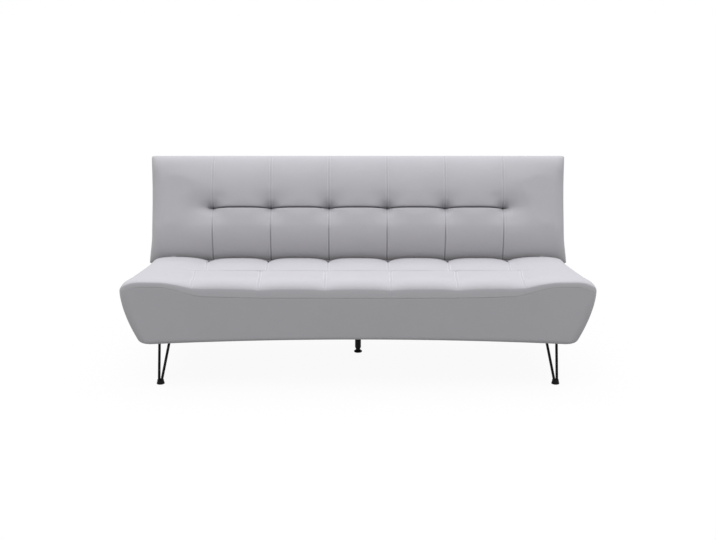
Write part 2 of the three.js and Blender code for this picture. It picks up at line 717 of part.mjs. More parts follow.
// Hairpin rod path in plan shares: from the outer weld down to the bend and up to the inner weld
function rodCurve(footY, towards) {
  const top = plateTop - legPlate.thickness / 2;
  const outer = new THREE.Vector3(legX + legTop.outset, footY + towards * legTop.outerReach, top);
  const inner = new THREE.Vector3(legX - legTop.spread, footY + towards * legTop.innerReach, top);
  const spread = outer.clone().sub(inner).setZ(0).normalize().multiplyScalar(legBend.halfWidth);
  const outerLow = new THREE.Vector3(legX, footY, legBend.top).add(spread);
  const innerLow = new THREE.Vector3(legX, footY, legBend.top).sub(spread);
  const curve = new THREE.CurvePath();
  curve.add(new THREE.LineCurve3(outer, outerLow));
  const lowest = new THREE.Vector3(legX, footY, legBend.low);
  curve.add(new THREE.QuadraticBezierCurve3(outerLow, lowest, innerLow));
  curve.add(new THREE.LineCurve3(innerLow, inner));
  return curve;
}

function rodGeometry(curve, radius) {
  const points = [];
  for (let i = 0; i < rodSides; i += 1) {
    const angle = (2 * Math.PI * i) / rodSides;
    points.push(new THREE.Vector2(radius * Math.cos(angle), radius * Math.sin(angle)));
  }
  const section = new THREE.Shape(points);
  return new THREE.ExtrudeGeometry(section, { steps: rodSteps, extrudePath: curve });
}

// A plate outline with round corners about its points, listed anticlockwise
function roundedPlate(points, radius, low, thickness) {
  const shape = new THREE.Shape();
  points.forEach((point, i) => {
    const before = points[(i + points.length - 1) % points.length];
    const after = points[(i + 1) % points.length];
    const edgeIn = Math.atan2(point[1] - before[1], point[0] - before[0]) - Math.PI / 2;
    let edgeOut = Math.atan2(after[1] - point[1], after[0] - point[0]) - Math.PI / 2;
    while (edgeOut < edgeIn) edgeOut += 2 * Math.PI;
    shape.absarc(point[0], point[1], radius, edgeIn, edgeOut, false);
  });
  const settings = { depth: thickness, bevelEnabled: false, curveSegments: 4 };
  return new THREE.ExtrudeGeometry(shape, settings).translate(0, 0, low);
}

// A solid of revolution about Z through a place, from radius and height pairs
function turned(profile, [x, y]) {
  const points = profile.map(([radius, height]) => new THREE.Vector2(radius, height));
  const geometry = new THREE.LatheGeometry(points, glideSides).rotateX(Math.PI / 2);
  return geometry.translate(x, y, 0);
}

function hairpinLeg(side, footY, towards) {
  const { spread, outset, outerReach, innerReach } = legTop;
  const [outerY, innerY] = [footY + towards * outerReach, footY + towards * innerReach];
  const triangle = [[legX + outset, outerY], [legX - spread, outerY], [legX - spread, innerY]];
  if (towards < 0) triangle.reverse();
  const low = plateTop - legPlate.thickness;
  const plate = roundedPlate(triangle, legPlate.rounding, low, legPlate.thickness);
  const screws = triangle.map((corner, i) => {
    const next = triangle[(i + 1) % triangle.length];
    const place = [(corner[0] + next[0]) / 2, (corner[1] + next[1]) / 2];
    const head = roundPin([0, 0], legPlate.screwRadius, low - legPlate.screwHeight, plateTop - fit);
    return head.translate(place[0], place[1], 0);
  });
  const pieces = [plate, rodGeometry(rodCurve(footY, towards), leg.rodRadius), ...screws];
  const geometry = join(pieces);
  return side > 0 ? geometry : mirrored(geometry);
}

function legGlide(side, footY, towards) {
  const { radius, rim, waist, height, socket, floor } = footGlide;
  const cup = turned([[0, 0], [radius, 0], [radius, rim], [waist, height], [0, height]],
    [legX, footY]);
  const bend = rodCurve(footY, towards).curves[1];
  const slotRadius = leg.rodRadius + socket;
  const ends = [[bend.v0.x, bend.v0.y], [bend.v2.x, bend.v2.y]];
  const slot = barGeometry(...ends, slotRadius, slotRadius, height).translate(0, 0, floor);
  const geometry = cutBy(cup, [slot]);
  return side > 0 ? geometry : mirrored(geometry);
}

// Centre leg: a round post on a flange under the centre beam, with a screwed flared glide
const centreLeg = { rearInset: 230, radius: 13, flange: 32, flangeThickness: 3, stem: 5, stemLow: 8 };
const centreGlide = { radius: 17.5, rim: 4, neck: 8, shoulder: 12, height: 20, bore: 5.3, boreLow: 7 };
const centreLegY = beamEnd - centreLeg.rearInset;

function centreLegPost() {
  const { radius, flange, flangeThickness, stem, stemLow } = centreLeg;
  const foot = centreGlide.height + fit;
  const profile = [[0, stemLow], [stem, stemLow], [stem, foot], [radius, foot],
    [radius, plateTop - flangeThickness], [flange, plateTop - flangeThickness], [flange, plateTop],
    [0, plateTop]];
  return turned(profile, [0, centreLegY]);
}

function centreLegGlide() {
  const { radius, rim, neck, shoulder, height, bore, boreLow } = centreGlide;
  const profile = [[0, 0], [radius, 0], [radius, rim], [neck, shoulder], [neck, height],
    [bore, height], [bore, boreLow], [0, boreLow]];
  return turned(profile, [0, centreLegY]);
}

// Assembly
const sides = [['left', -1], ['right', 1]];
const legEnds = [['front', leg.frontY, 1], ['rear', beamEnd - leg.rearInset, -1]];

const sofa = new THREE.Group();
sofa.position.y = -overallDepth / 2;

function addSeat() {
  sofa.add(named('seat_pad', sewnPad(seatPad), greyFabric));
  sofa.add(named('seat_border_front', seatBorderFront(), greyFabric));
  sofa.add(named('seat_border_rear', seatBorderRear(), greyFabric));
  sofa.add(named('seat_rail_front', seatRailFront(), timber));
  sofa.add(named('seat_rail_rear', seatRailRear(), timber));
  sofa.add(named('base_beam_rear', baseBeamRear(), timber));
  sofa.add(named('base_beam_centre', baseBeamCentre(), timber));
  for (const [word, side] of sides) {
    sofa.add(named(`seat_border_${word}`, seatBorderSide(side), greyFabric));
    sofa.add(named(`seat_rail_${word}`, seatRailSide(side), timber));
    sofa.add(named(`base_beam_${word}`, baseBeamSide(side), timber));
    sofa.add(named(`dust_cover_${word}`, dustCover(side), blackLining));
  }
  for (let i = 0; i < seatStraps; i += 1) {
    const place = (i - (seatStraps - 1) / 2) * seatPad.panelPitch;
    const ends = [frontPadding + fit, seatInnerEnd - fit];
    sofa.add(named(`seat_strap_${i + 1}`, strap(place, ends, seatRailTop), webbing));
  }
}

function addLegs() {
  for (const [word, side] of sides) {
    for (const [end, footY, towards] of legEnds) {
      sofa.add(named(`hairpin_leg_${end}_${word}`, hairpinLeg(side, footY, towards), blackSteel));
      sofa.add(named(`leg_glide_${end}_${word}`, legGlide(side, footY, towards), blackPlastic));
    }
  }
  sofa.add(named('centre_leg', centreLegPost(), blackSteel));
  sofa.add(named('centre_leg_glide', centreLegGlide(), blackPlastic));
}

function addHinges(backrest) {
  for (const [word, side] of sides) {
    sofa.add(named(`hinge_seat_plate_${word}`, hingeSeatPlate(side), zincSteel));
    sofa.add(named(`hinge_rivet_${word}`, rivet(side, [0, 0], rivetRadius, rivetHead.radius), zincSteel));
    sofa.add(named(`ratchet_pawl_${word}`, ratchetPawl(side), zincSteel));
    const pin = rivet(side, pawl.pivot, pawl.pin, rivetHead.pawlRadius);
    sofa.add(named(`pawl_rivet_${word}`, pin, zincSteel));
    backrest.add(named(`hinge_back_plate_${word}`, hingeBackPlate(side), zincSteel));
  }
}

function addBackrest(backrest) {
  backrest.add(named('back_pad', notchedBackPad(), greyFabric));
  backrest.add(named('back_border_top', backBorderTop(), greyFabric));
  backrest.add(named('back_border_bottom', backBorderBottom(), greyFabric));
  backrest.add(named('back_rear_panel', backRearPanel(), greyFabric));
  const lower = [backFrameStart, backFrameStart + railThickness, crossRailEnd];
  const upper = [backFrameEnd - railThickness, backFrameEnd, backSideRailInner - fit];
  backrest.add(named('back_rail_bottom', backRailCross(...lower), timber));
  backrest.add(named('back_rail_top', backRailCross(...upper), timber));
  backrest.add(named('back_centre_stile', backCentreStile(), timber));
  for (const [word, side] of sides) {
    backrest.add(named(`back_border_${word}`, backBorderSide(side), greyFabric));
    backrest.add(named(`back_rail_${word}`, backRailSide(side), timber));
  }
  for (let i = 0; i < backStraps; i += 1) {
    const place = (i - (backStraps - 1) / 2) * backPad.panelPitch;
    const ends = [backFrameStart + fit, backFrameEnd - fit];
    backrest.add(named(`back_strap_${i + 1}`, strap(place, ends, backRailFront), webbing));
  }
}

// The backrest group turns from flat to its lean about the pivot
const backrest = new THREE.Group();
backrest.position.set(0, pivotY, pivotZ);
backrest.rotation.x = Math.PI / 2 - restLean;
sofa.add(backrest);

addSeat();
addLegs();
addHinges(backrest);
addBackrest(backrest);

export default sofa;
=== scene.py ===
"""Click clack sofa bed with grey sewn pads on hairpin legs.

Lengths are metres, +Z is up and the front faces -Y. Shapes are grids of points worked out with
numpy. Finishes are node trees written as sums and products.
"""

import math

import bmesh
import bpy
import numpy as np
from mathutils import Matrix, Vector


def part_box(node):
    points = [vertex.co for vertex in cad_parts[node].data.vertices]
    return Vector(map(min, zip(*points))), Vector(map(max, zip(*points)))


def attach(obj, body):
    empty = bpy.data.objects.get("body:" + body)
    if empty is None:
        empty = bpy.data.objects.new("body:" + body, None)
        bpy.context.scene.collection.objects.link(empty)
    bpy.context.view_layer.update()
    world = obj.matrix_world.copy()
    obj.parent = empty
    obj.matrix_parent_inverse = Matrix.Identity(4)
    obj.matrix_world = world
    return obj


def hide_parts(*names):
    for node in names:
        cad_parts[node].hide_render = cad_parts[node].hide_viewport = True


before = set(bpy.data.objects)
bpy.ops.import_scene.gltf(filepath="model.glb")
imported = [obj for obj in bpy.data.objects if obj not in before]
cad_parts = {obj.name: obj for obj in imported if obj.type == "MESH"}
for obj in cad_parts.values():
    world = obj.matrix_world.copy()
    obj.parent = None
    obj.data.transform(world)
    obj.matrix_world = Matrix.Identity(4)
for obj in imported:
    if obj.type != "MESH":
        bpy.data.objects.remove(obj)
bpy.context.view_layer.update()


# Studio: a plain pale floor in even light from above, and the camera at the height and
# distance of the photograph. Floor and air look white, and the floor keeps a faint shadow.
class Wire:
    """A socket of a node tree. Sums, differences and products of wires add Math nodes."""

    def __init__(self, tree, socket=None):
        self.tree, self.socket = tree, socket

    def node(self, kind, inputs=(), output=0, **settings):
        """Any node: its settings first, then the values or links of its sockets."""
        made = self.tree.nodes.new(kind)
        for name, value in settings.items():
            setattr(made, name, value)
        for name, value in dict(inputs).items():
            if isinstance(value, Wire):
                self.tree.links.new(value.socket, made.inputs[name])
            else:
                made.inputs[name].default_value = value
        return Wire(self.tree, made.outputs[output] if len(made.outputs) else None)

    def maths(self, operation, *values):
        return self.node("ShaderNodeMath", enumerate(values), operation=operation)

    def __add__(self, other):
        return self.maths("ADD", self, other)

    def __rsub__(self, other):
        return self.maths("SUBTRACT", other, self)

    def __mul__(self, other):
        return self.maths("MULTIPLY", self, other)

    __radd__, __rmul__ = __add__, __mul__

    def wave(self):
        return self.maths("SINE", self)

    def part(self, number):
        """One of the three numbers of a place: 0, 1 or 2."""
        return self.node("ShaderNodeSeparateXYZ", {0: self}, output=number)

    def between(self, low, high):
        """0 below low, 1 above high, and even steps between."""
        return self.node("ShaderNodeMapRange", {0: self, 1: low, 2: high})

    def tint(self, low, high):
        """A colour that goes from low to high as the wire goes from 0 to 1."""
        colours = {0: self, 6: (*low, 1) if isinstance(low, tuple) else low,
                   7: (*high, 1) if isinstance(high, tuple) else high}
        return self.node("ShaderNodeMix", colours, output=2, data_type="RGBA")


def tone(red, green, blue):
    """The linear colour of three display values from 0 to 255."""
    share = np.array([red, green, blue]) / 255
    return tuple(float(c) for c in np.where(share > 0.04045, ((share + 0.055) / 1.055) ** 2.4, share / 12.92))


def white_to_camera(tree, seen, lit, output):
    """Straight looks, gloss and glass see one shader, and all other light another."""
    start = Wire(tree)
    looks = [start.node("ShaderNodeLightPath", output=name)
             for name in ("Is Camera Ray", "Is Glossy Ray", "Is Transmission Ray")]
    any_look = start.maths("MAXIMUM", start.maths("MAXIMUM", looks[0], looks[1]), looks[2])
    mixed = start.node("ShaderNodeMixShader", {0: any_look, 1: lit, 2: seen})
    tree.links.new(mixed.socket, tree.nodes[output].inputs["Surface"])


scene = bpy.context.scene
scene.view_settings.view_transform = "Standard"
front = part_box("seat_pad")[0].y

photo_wide, focal_length, sensor = 716, 1088.1, 36
tilt_down, stand_off, eye_level = math.radians(14.5), 4.047, 1.534
camera = bpy.data.objects.new("camera", bpy.data.cameras.new("camera"))
camera.data.sensor_width = sensor
camera.data.lens = sensor * focal_length / photo_wide
camera.location = (0, front - stand_off, eye_level)
camera.rotation_euler = (math.pi / 2 - tilt_down, 0, 0)
scene.collection.objects.link(camera)
scene.camera = camera

overhead = bpy.data.lights.new("overhead", "SUN")
overhead.energy = 0.93 * math.pi
overhead.color = (1, 0.995, 1.05)
overhead.angle = math.radians(75)
lamp = bpy.data.objects.new("overhead", overhead)
scene.collection.objects.link(lamp)

air = bpy.data.worlds.new("air")
air.use_nodes = True
scene.world = air
air_start = Wire(air.node_tree)
white_to_camera(air.node_tree, air_start.node("ShaderNodeBackground", {"Color": (1, 1, 1, 1)}),
                air_start.node("ShaderNodeBackground", {"Color": (0.62, 0.622, 0.60, 1)}),
                "World Output")

floor_mesh = bpy.data.meshes.new("floor")
floor_mesh.from_pydata([(-60, -60, 0), (60, -60, 0), (60, 60, 0), (-60, 60, 0)], [], [(0, 1, 2, 3)])
floor = bpy.data.objects.new("floor", floor_mesh)
floor_finish = bpy.data.materials.new("floor")
floor_finish.use_nodes = True
floor_start = Wire(floor_finish.node_tree)
floor_finish.node_tree.nodes.remove(floor_finish.node_tree.nodes["Principled BSDF"])
shaded = floor_start.node("ShaderNodeBsdfDiffuse", {"Color": (0.68, 0.68, 0.68, 1)})
glow = floor_start.node("ShaderNodeEmission", {"Color": (1, 1, 1, 1)})
seen = floor_start.node("ShaderNodeMixShader", {0: 0.06, 1: glow, 2: shaded})
white_to_camera(floor_finish.node_tree, seen,
                floor_start.node("ShaderNodeBsdfDiffuse", {"Color": (0.3, 0.3, 0.3, 1)}),
                "Material Output")
floor_mesh.materials.append(floor_finish)
scene.collection.objects.link(floor)


# Seat pad: grey woven cover over foam, sewn into five panels with an open panel at each end
# and drawn down along one line across. Its front rolls over to the border's seam, and the end
# panels rise in front like shallow wings. It is sewn to the border and stapled underneath.
def rolled(distance, radius, power=2):
    """A quarter ellipse: 0 at an edge, 1 from one radius inwards. A higher power than 2 turns
    more sharply."""
    return (1 - (1 - np.clip(distance / radius, 0, 1)) ** power) ** (1 / power)


def eased(low, high, value):
    """A smooth step from 0 at low to 1 at high."""
    share = np.clip((value - low) / (high - low), 0, 1)
    return share * share * (3 - 2 * share)


def spaced(step, *parts):
    """The places in all parts, with even stops between neighbours that lie over a step apart."""
    places = np.unique(np.round(np.concatenate(parts), 7))
    runs = [np.linspace(a, b, int(np.ceil((b - a) / step)) + 1)[:-1] for a, b in zip(places, places[1:])]
    return np.concatenate([*runs, places[-1:]])


def rounding(radius, stops):
    """Distances from an edge inwards, at equal angles of a quarter circle of a radius."""
    return radius * (1 - np.cos(np.linspace(0, math.pi / 2, stops)))


def stacked(*parts):
    """Places from their parts, such as across, along and height, brought to one grid."""
    return np.stack(np.broadcast_arrays(*parts), axis=-1)


def unit(vectors):
    """The vectors at a length of one."""
    return vectors / np.linalg.norm(vectors, axis=-1, keepdims=True)


def seam_places(pad):
    """Where a pad's six seams lie across it."""
    return (np.arange(6) - 2.5) * pad["pitch"]


def seam_gap(across, pitch):
    """Distance from the line of the nearest seam, where a pad has seams."""
    return np.abs(np.abs(across) / pitch % 1 - 0.5) * pitch


def pad_columns(pad, step, seam_stops):
    """Signed places across a pad: stops beside each seam and at each mark, even stops between,
    and stops round each corner at equal angles."""
    seams, straight = seam_places(pad), pad["half"] - pad["corner"]
    beside = (seams[:, None] + np.concatenate([-seam_stops, seam_stops])).ravel()
    beside = beside[np.abs(beside) < straight - step]
    marks = np.array(pad["marks"])
    bend = straight + pad["corner"] * np.sin(np.linspace(0, math.pi / 2, pad["corner_stops"] + 1))
    inner = spaced(step, beside, seams, marks, -marks, [-straight, straight])
    return np.concatenate([-bend[:0:-1], inner, bend[1:]])


def pad_rows(pad, step, fold_stops):
    """Shares along a pad: fine stops next to the near rim, stops at equal angles on both edge
    rolls, stops beside the fold line and even stops between."""
    depth, roll = pad["depth"], rounding(pad["edge_roll"], pad["roll_stops"] + 1)
    fold = pad["fold"] + np.concatenate([-fold_stops, [0], fold_stops])
    return spaced(step, pad["near_stops"], roll, fold, depth - roll) / depth


def pad_points(pad, columns, shares):
    """Points (across, along, height) of a pad's top on a grid of columns and rows. The height is
    the edge seam plus the crown's rise times three edge rolls. The crown has the seam dip, the
    fold dip and a round pull at each crossing taken off it."""
    column, share = np.meshgrid(columns, shares)
    across = np.abs(column)
    outer, half, corner = 2.5 * pad["pitch"], pad["half"], pad["corner"]
    past = np.maximum(across - (half - corner), 0)
    inset = corner - np.sqrt(np.maximum(corner ** 2 - past ** 2, 0))
    near, far = share * (pad["depth"] - inset), (1 - share) * (pad["depth"] - inset)
    along = inset + near
    width = pad["width_at"](along)
    stretch = np.maximum(across - outer, 0) / (half - outer)
    jog = 1 + pad["jog"](along - pad["fold"])
    reach = np.where(across <= outer, across * jog, outer * jog + stretch * (width - outer * jog))
    offset = (across / pad["pitch"] + 2.5) % 1
    past_seams = np.maximum(1 - (across - outer) / pad["pitch"], 0)
    sewn = np.where(across < outer, np.abs(2 * offset - 1), past_seams)
    fold = along - pad["fold"]
    inside = 1 - eased(outer, outer + pad["fold_fade"], across)
    dip = pad["seam_dip"] * sewn ** 3 + pad["fold_dip"](fold) * inside
    seam_gap = (1 - sewn) * pad["pitch"] / 2
    radius = np.hypot(seam_gap, fold)
    wide = np.maximum(1 - radius / pad["pull_radius"], 0) ** 2
    tight = np.maximum(1 - 2 * radius / pad["pull_radius"], 0) ** 2
    dip = dip + pad["pull_dip"] * (wide + 0.7 * tight)
    top = pad["crown"](across, along) - dip
    face = pad["near_face"](across)
    roll = rolled(near, 0.002) * (face + (1 - face) * rolled(near, *pad["near_roll"](across)))
    roll = roll * rolled(far, *pad["far_roll"]) * rolled(width - reach, *pad["side_roll"])
    seam = pad["seam_at"](across, share)
    bow = pad["fold_bow"] * (1 - sewn ** 2) * inside * np.exp(-(fold / 0.05) ** 2)
    return stacked(np.sign(column) * reach, along - bow, seam + (top - seam) * roll)


def sewn_lines(pad, columns, shares):
    """Two bells, from 0 to 1, at each grid point: one across the seams, as wide as the pad says
    at that share, and one across the fold line."""
    column, share = np.meshgrid(columns, shares)
    across, outer = np.abs(column), 2.5 * pad["pitch"]
    gap = np.min(np.abs(across[..., None] - np.abs(seam_places(pad))), axis=-1)
    fold = share * pad["depth"] - pad["fold"]
    inside = 1 - eased(outer, outer + 0.01, across)
    return np.exp(-(gap / pad["seam_width"](share)) ** 2), np.exp(-(fold / 0.003) ** 2) * inside


def lengths(points, axis):
    """Distance run along one direction of a grid of points, from its first line."""
    steps = np.linalg.norm(np.diff(points, axis=axis), axis=-1)
    start = np.zeros_like(np.take(steps, [0], axis=axis))
    return np.cumsum(np.concatenate([start, steps], axis=axis), axis=axis)


def grid_faces(rows, columns, first=0, wrap_rows=False, wrap_columns=False):
    """Quads between neighbouring points of a grid numbered row by row. A wrapped direction
    joins its last line to its first."""
    i, j = np.meshgrid(np.arange(rows - (not wrap_rows)), np.arange(columns - (not wrap_columns)),
                       indexing="ij")
    near, far = i % rows * columns, (i + 1) % rows * columns
    left, right = j % columns, (j + 1) % columns
    return first + np.stack([near + left, near + right, far + right, far + left], axis=-1).reshape(-1, 4)


def shell(name, corners, faces, lids=(), cloth=None, crease=None):
    """A closed mesh object at the origin from corners, quads and end faces, with its faces turned outwards.
    cloth is each corner's place on the flat cloth, kept as a UV map, and crease is each corner's painted
    shade, kept as an attribute."""
    mesh = bpy.data.meshes.new(name)
    mesh.from_pydata(np.asarray(corners).tolist(), [], [*faces.tolist(), *[list(lid) for lid in lids]])
    if cloth is not None:
        order = np.empty(len(mesh.loops), int)
        mesh.loops.foreach_get("vertex_index", order)
        mesh.uv_layers.new(name="cloth").data.foreach_set("uv", np.asarray(cloth)[order].ravel())
    if crease is not None:
        mesh.attributes.new("crease", "FLOAT", "POINT").data.foreach_set("value", np.asarray(crease).ravel())
    sorted_out = bmesh.new()
    sorted_out.from_mesh(mesh)
    bmesh.ops.recalc_face_normals(sorted_out, faces=sorted_out.faces)
    sorted_out.to_mesh(mesh)
    sorted_out.free()
    mesh.shade_smooth()
    piece = bpy.data.objects.new(name, mesh)
    scene.collection.objects.link(piece)
    return piece


def edge_round(rows, columns):
    """Indices of a grid's edge points, once round."""
    grid = np.arange(rows * columns).reshape(rows, columns)
    return np.concatenate([grid[0, :-1], grid[:-1, -1], grid[-1, :0:-1], grid[:0:-1, 0]])


# Half the width of the timber frames that both pads are drawn in to.
frame_half = 0.8257


def inner_place(pad, rim, outset=0.0):
    """Where a rim point's fold lands inside the border: as it is across the middle, and drawn in
    to the timber frame at the sides and ends. A border's own inner face stands an outset off."""
    square = 0.780
    past = (np.abs(rim[:, 0]) - square) / (pad["width_at"](rim[:, 1]) - square)
    reach = np.where(past > 0, square + past * (frame_half + outset - square), np.abs(rim[:, 0]))
    low, high = pad["inner_start"] - outset, pad["inner_end"] + outset
    return np.sign(rim[:, 0]) * reach, low + rim[:, 1] / pad["depth"] * (high - low)


def pad_shell(name, pad, points, place, crease):
    """A pad's closed form: its sewn top, a ledge inwards under the rim and a body down to the
    frame. place turns (across, along, height) into the sofa's frame."""
    rows, columns = points.shape[:2]
    rim = edge_round(rows, columns)
    edge = points.reshape(-1, 3)[rim]
    across, along = inner_place(pad, edge)
    ledge, foot = stacked(across, along, edge[:, 2]), stacked(across, along, pad["foot"])
    corners = np.concatenate([points.reshape(-1, 3), ledge, foot])
    size, count = rows * columns, len(rim)
    rings = np.stack([rim, size + np.arange(count), size + count + np.arange(count)])
    walls = grid_faces(3, count, wrap_columns=True)
    faces = np.concatenate([grid_faces(rows, columns), rings.ravel()[walls]])
    cloth = np.concatenate([
        stacked(lengths(points, 1) + points[:, :1, 0], lengths(points, 0)).reshape(-1, 2),
        ledge[:, :2], foot[:, :2] + 0.05])
    # Painted shade: the ledge and body under the rim are fully darkened, and the top keeps its painted shade
    # in the seams and fold.
    painted_shade_all = np.concatenate([crease.ravel(), np.ones(2 * count)])
    return shell(name, place(corners), faces, [rings[2]], cloth, painted_shade_all)


def between_stops(old, new):
    """For each new place its position among the old ones, counted in whole and part stops."""
    return np.interp(new, old, np.arange(len(old)))


def resampled(values, positions, axis):
    """A smooth curve through each line of values, read at positions: four neighbours are
    weighted with the cubic weights of Catmull and Rom."""
    values = np.moveaxis(values, axis, 0)
    whole = np.clip(np.floor(positions).astype(int), 0, len(values) - 2)
    part = (positions - whole).reshape(-1, *[1] * (values.ndim - 1))
    picks = [values[np.clip(whole + k, 0, len(values) - 1)] for k in (-1, 0, 1, 2)]
    weights = [(-part + 2 * part ** 2 - part ** 3) / 2, (2 - 5 * part ** 2 + 3 * part ** 3) / 2,
               (part + 4 * part ** 2 - 3 * part ** 3) / 2, (part ** 3 - part ** 2) / 2]
    return np.moveaxis(sum(w * p for w, p in zip(weights, picks)), 0, axis)


def blown(pad, columns, shares):
    """How each point of a pad's top moves when the sewn cover is filled. The cover is a cloth
    held at its rim and, as firmly as the pad says, along its seams and its fold. An even
    pressure pushes it out for 14 steps, and no point may move further than the pad's cap. The
    cloth is a coarse one. Its move fades out over 12 cm towards the rim."""
    steps, coarse_step, beside = 14, 0.021, np.array([0.008])
    coarse = pad | {"roll_stops": 4, "near_stops": [0.0005, 0.0012, 0.002]}
    coarse_columns = pad_columns(coarse, coarse_step, beside)
    coarse_rows = pad_rows(coarse, coarse_step, beside)
    start = pad_points(pad, coarse_columns, coarse_rows)
    piece = pad_shell("filling", pad, start, lambda corners: corners, np.zeros(start.shape[:2]))
    column, share = np.meshgrid(coarse_columns, coarse_rows)
    on_seam = (seam_gap(column, pad["pitch"]) < 0.001) & (np.abs(column) < 2.6 * pad["pitch"])
    on_fold = (np.abs(share - pad["fold"] / pad["depth"]) < 0.001) & (np.abs(column) < 2.51 * pad["pitch"])
    held = np.maximum(pad["seam_hold"] * on_seam, pad["fold_hold"] * on_fold)
    held[[0, -1], :] = held[:, [0, -1]] = 1
    group = piece.vertex_groups.new(name="held")
    weights = np.concatenate([held.ravel(), np.ones(len(piece.data.vertices) - held.size)])
    for level in np.unique(weights):
        group.add(np.nonzero(weights == level)[0].tolist(), float(level), "REPLACE")
    cloth = piece.modifiers.new("filling", "CLOTH")
    for name, value in {"quality": 5, "mass": 0.3, "tension_stiffness": 12, "compression_stiffness": 12,
                        "bending_stiffness": 1.5, "vertex_group_mass": "held", "pin_stiffness": 1,
                        "use_pressure": True, "uniform_pressure_force": pad["pressure"]}.items():
        setattr(cloth.settings, name, value)
    cloth.settings.effector_weights.gravity = 0
    cloth.collision_settings.use_collision = False
    cloth.point_cache.frame_end = steps
    for step in range(1, steps + 1):
        scene.frame_set(step)
    filled = piece.evaluated_get(bpy.context.evaluated_depsgraph_get()).to_mesh()
    ends = np.empty(len(filled.vertices) * 3)
    filled.vertices.foreach_get("co", ends)
    scene.frame_set(1)
    bpy.data.objects.remove(piece)
    moved = ends[:start.size].reshape(start.shape) - start
    far = np.linalg.norm(moved, axis=-1, keepdims=True)
    moved = moved * np.minimum(1, pad["cap"] / np.maximum(far, 1e-9))
    moved = resampled(moved, between_stops(coarse_columns, columns), 1)
    inwards = np.minimum(shares, 1 - shares) * pad["depth"]
    return resampled(moved, between_stops(coarse_rows, shares), 0) * eased(0.01, 0.12, inwards)[:, None, None]


def sewn_pad(pad):
    """A pad's columns, its rows, its points as they are sewn and the same points once
    filled."""
    columns, rows = pad_columns(pad, 0.007, seam_stops), pad_rows(pad, pad["row_step"], fold_stops)
    sewn = pad_points(pad, columns, rows)
    return columns, rows, sewn, sewn + blown(pad, columns, rows)


seat_half, seat_depth, seat_pitch, seat_fold_share = 0.932, 0.542, 0.258, 0.49


def winged(across):
    """0 up to 590 mm from the seat's middle and 1 from 780 mm on, where the wings stand."""
    return eased(0.590, 0.780, across)


def seat_rim_height(across, share):
    """The seat's edge seam: 374 mm high in front, 44 mm up at the wings and less at the corners,
    390 mm high at the rear."""
    near = (0.374 + 0.006 * eased(0.350, 0.650, across) + 0.038 * winged(across)
            - 0.028 * eased(0.840, 0.950, across))
    return near + (0.390 - near) * eased(0, 0.2, share)


def seat_front_roll(across):
    """Radius and power of the roll over the seat's front edge: wide, and tight at the wings."""
    return 0.080 - 0.028 * winged(across), 2.2


def seat_fold(off):
    """The dip along the seat's tuft line: a shallow dell 50 mm to each side and a narrow crease."""
    dell = np.maximum(1 - np.abs(off) / 0.05, 0) ** 4
    return 0.004 * dell + 0.003 * np.exp(-np.abs(off) / 0.006)


def seat_jog(off):
    """How far the seams swerve at the fold, as a share of their distance from the middle: out by
    3% before it and in by 3% behind it, dying away over 20 cm before it and 22 behind."""
    swerve = np.where(off < 0, 1 - eased(0, 0.20, -off), 1 - eased(0, 0.22, off))
    return (0.03 - 0.06 * eased(-0.012, 0.012, off)) * swerve


def seat_crown(across, along):
    """The seat's top: highest behind the front roll, 40 mm lower at the rear, 6 up at the wings.
    Next to the backrest the seams are drawn in 9 mm deep."""
    slope = np.clip((along - 0.085) / (seat_depth - 0.085), 0, 1)
    off_seam = seam_gap(across, seat_pitch) / (seat_pitch / 2)
    drawn = 0.009 * (1 - off_seam) ** 6 * (across < 0.7) * eased(0.44, 0.53, along)
    return 0.442 - 0.040 * slope - drawn + 0.006 * winged(across)


seat = {
    "half": seat_half, "depth": seat_depth, "corner": 0.040, "pitch": seat_pitch, "corner_stops": 10,
    "fold": seat_fold_share * seat_depth, "fold_fade": 0.06, "fold_bow": 0.016, "fold_dip": seat_fold,
    "jog": seat_jog, "seam_dip": 0.009, "pull_dip": 0.003, "pull_radius": 0.04,
    "seam_width": lambda share: 0.0016 + 0 * share,
    "near_face": lambda across: 0.36 + 0.12 * winged(across),
    "near_roll": seat_front_roll, "far_roll": (0.010, 2), "side_roll": (0.085, 2),
    "edge_roll": 0.085, "roll_stops": 14, "row_step": 0.007, "marks": [],
    "near_stops": [0.00001, 0.00006, 0.0002, 0.0005, 0.0012, 0.002],
    "foot": 0.3337, "inner_start": 0.0383, "inner_end": 0.5217,
    "pressure": 2.5, "seam_hold": 1.0, "fold_hold": 0.5, "cap": 0.004,
    "width_at": lambda along: seat_half - 0.050 * along / seat_depth,
    "seam_at": seat_rim_height, "crown": seat_crown,
}
seam_stops = np.array([0.0012, 0.0026, 0.0045, 0.007, 0.0095, 0.013])
fold_stops = np.array([0.001, 0.0022, 0.0036, 0.0055, 0.008, 0.012, 0.016])


def on_seat(points):
    """Seat places (across, from the front seam, height) in the sofa's frame."""
    return points + np.array([0, front, 0])


seat_columns, seat_rows, seat_sewn, seat_top = sewn_pad(seat)
seam_line, fold_line = sewn_lines(seat, seat_columns, seat_rows)
seat_fade = rolled(seat_rows, 0.02) * rolled(1 - seat_rows, 0.02)
seat_top[..., 2] -= (0.0012 * seam_line + 0.0012 * fold_line) * seat_fade[:, None]
# Painted shade along the fold line, darker in the middle of each panel than at its seams, and faint painted
# shade along the seams.
seat_fold_shade = 0.08 + 0.16 * np.sin(math.pi * (seat_columns / seat_pitch + 0.5)) ** 2
seat_painted_shade = np.maximum(0.05 * seam_line, seat_fold_shade * fold_line ** 0.1)
seat_cover = pad_shell("seat_cover", seat, seat_top, on_seat, seat_painted_shade)


def new_finish(name):
    """A new node material and a wire that carries each point's place on the object."""
    made = bpy.data.materials.new(name)
    made.use_nodes = True
    return made, Wire(made.node_tree).node("ShaderNodeTexCoord", output="Object")


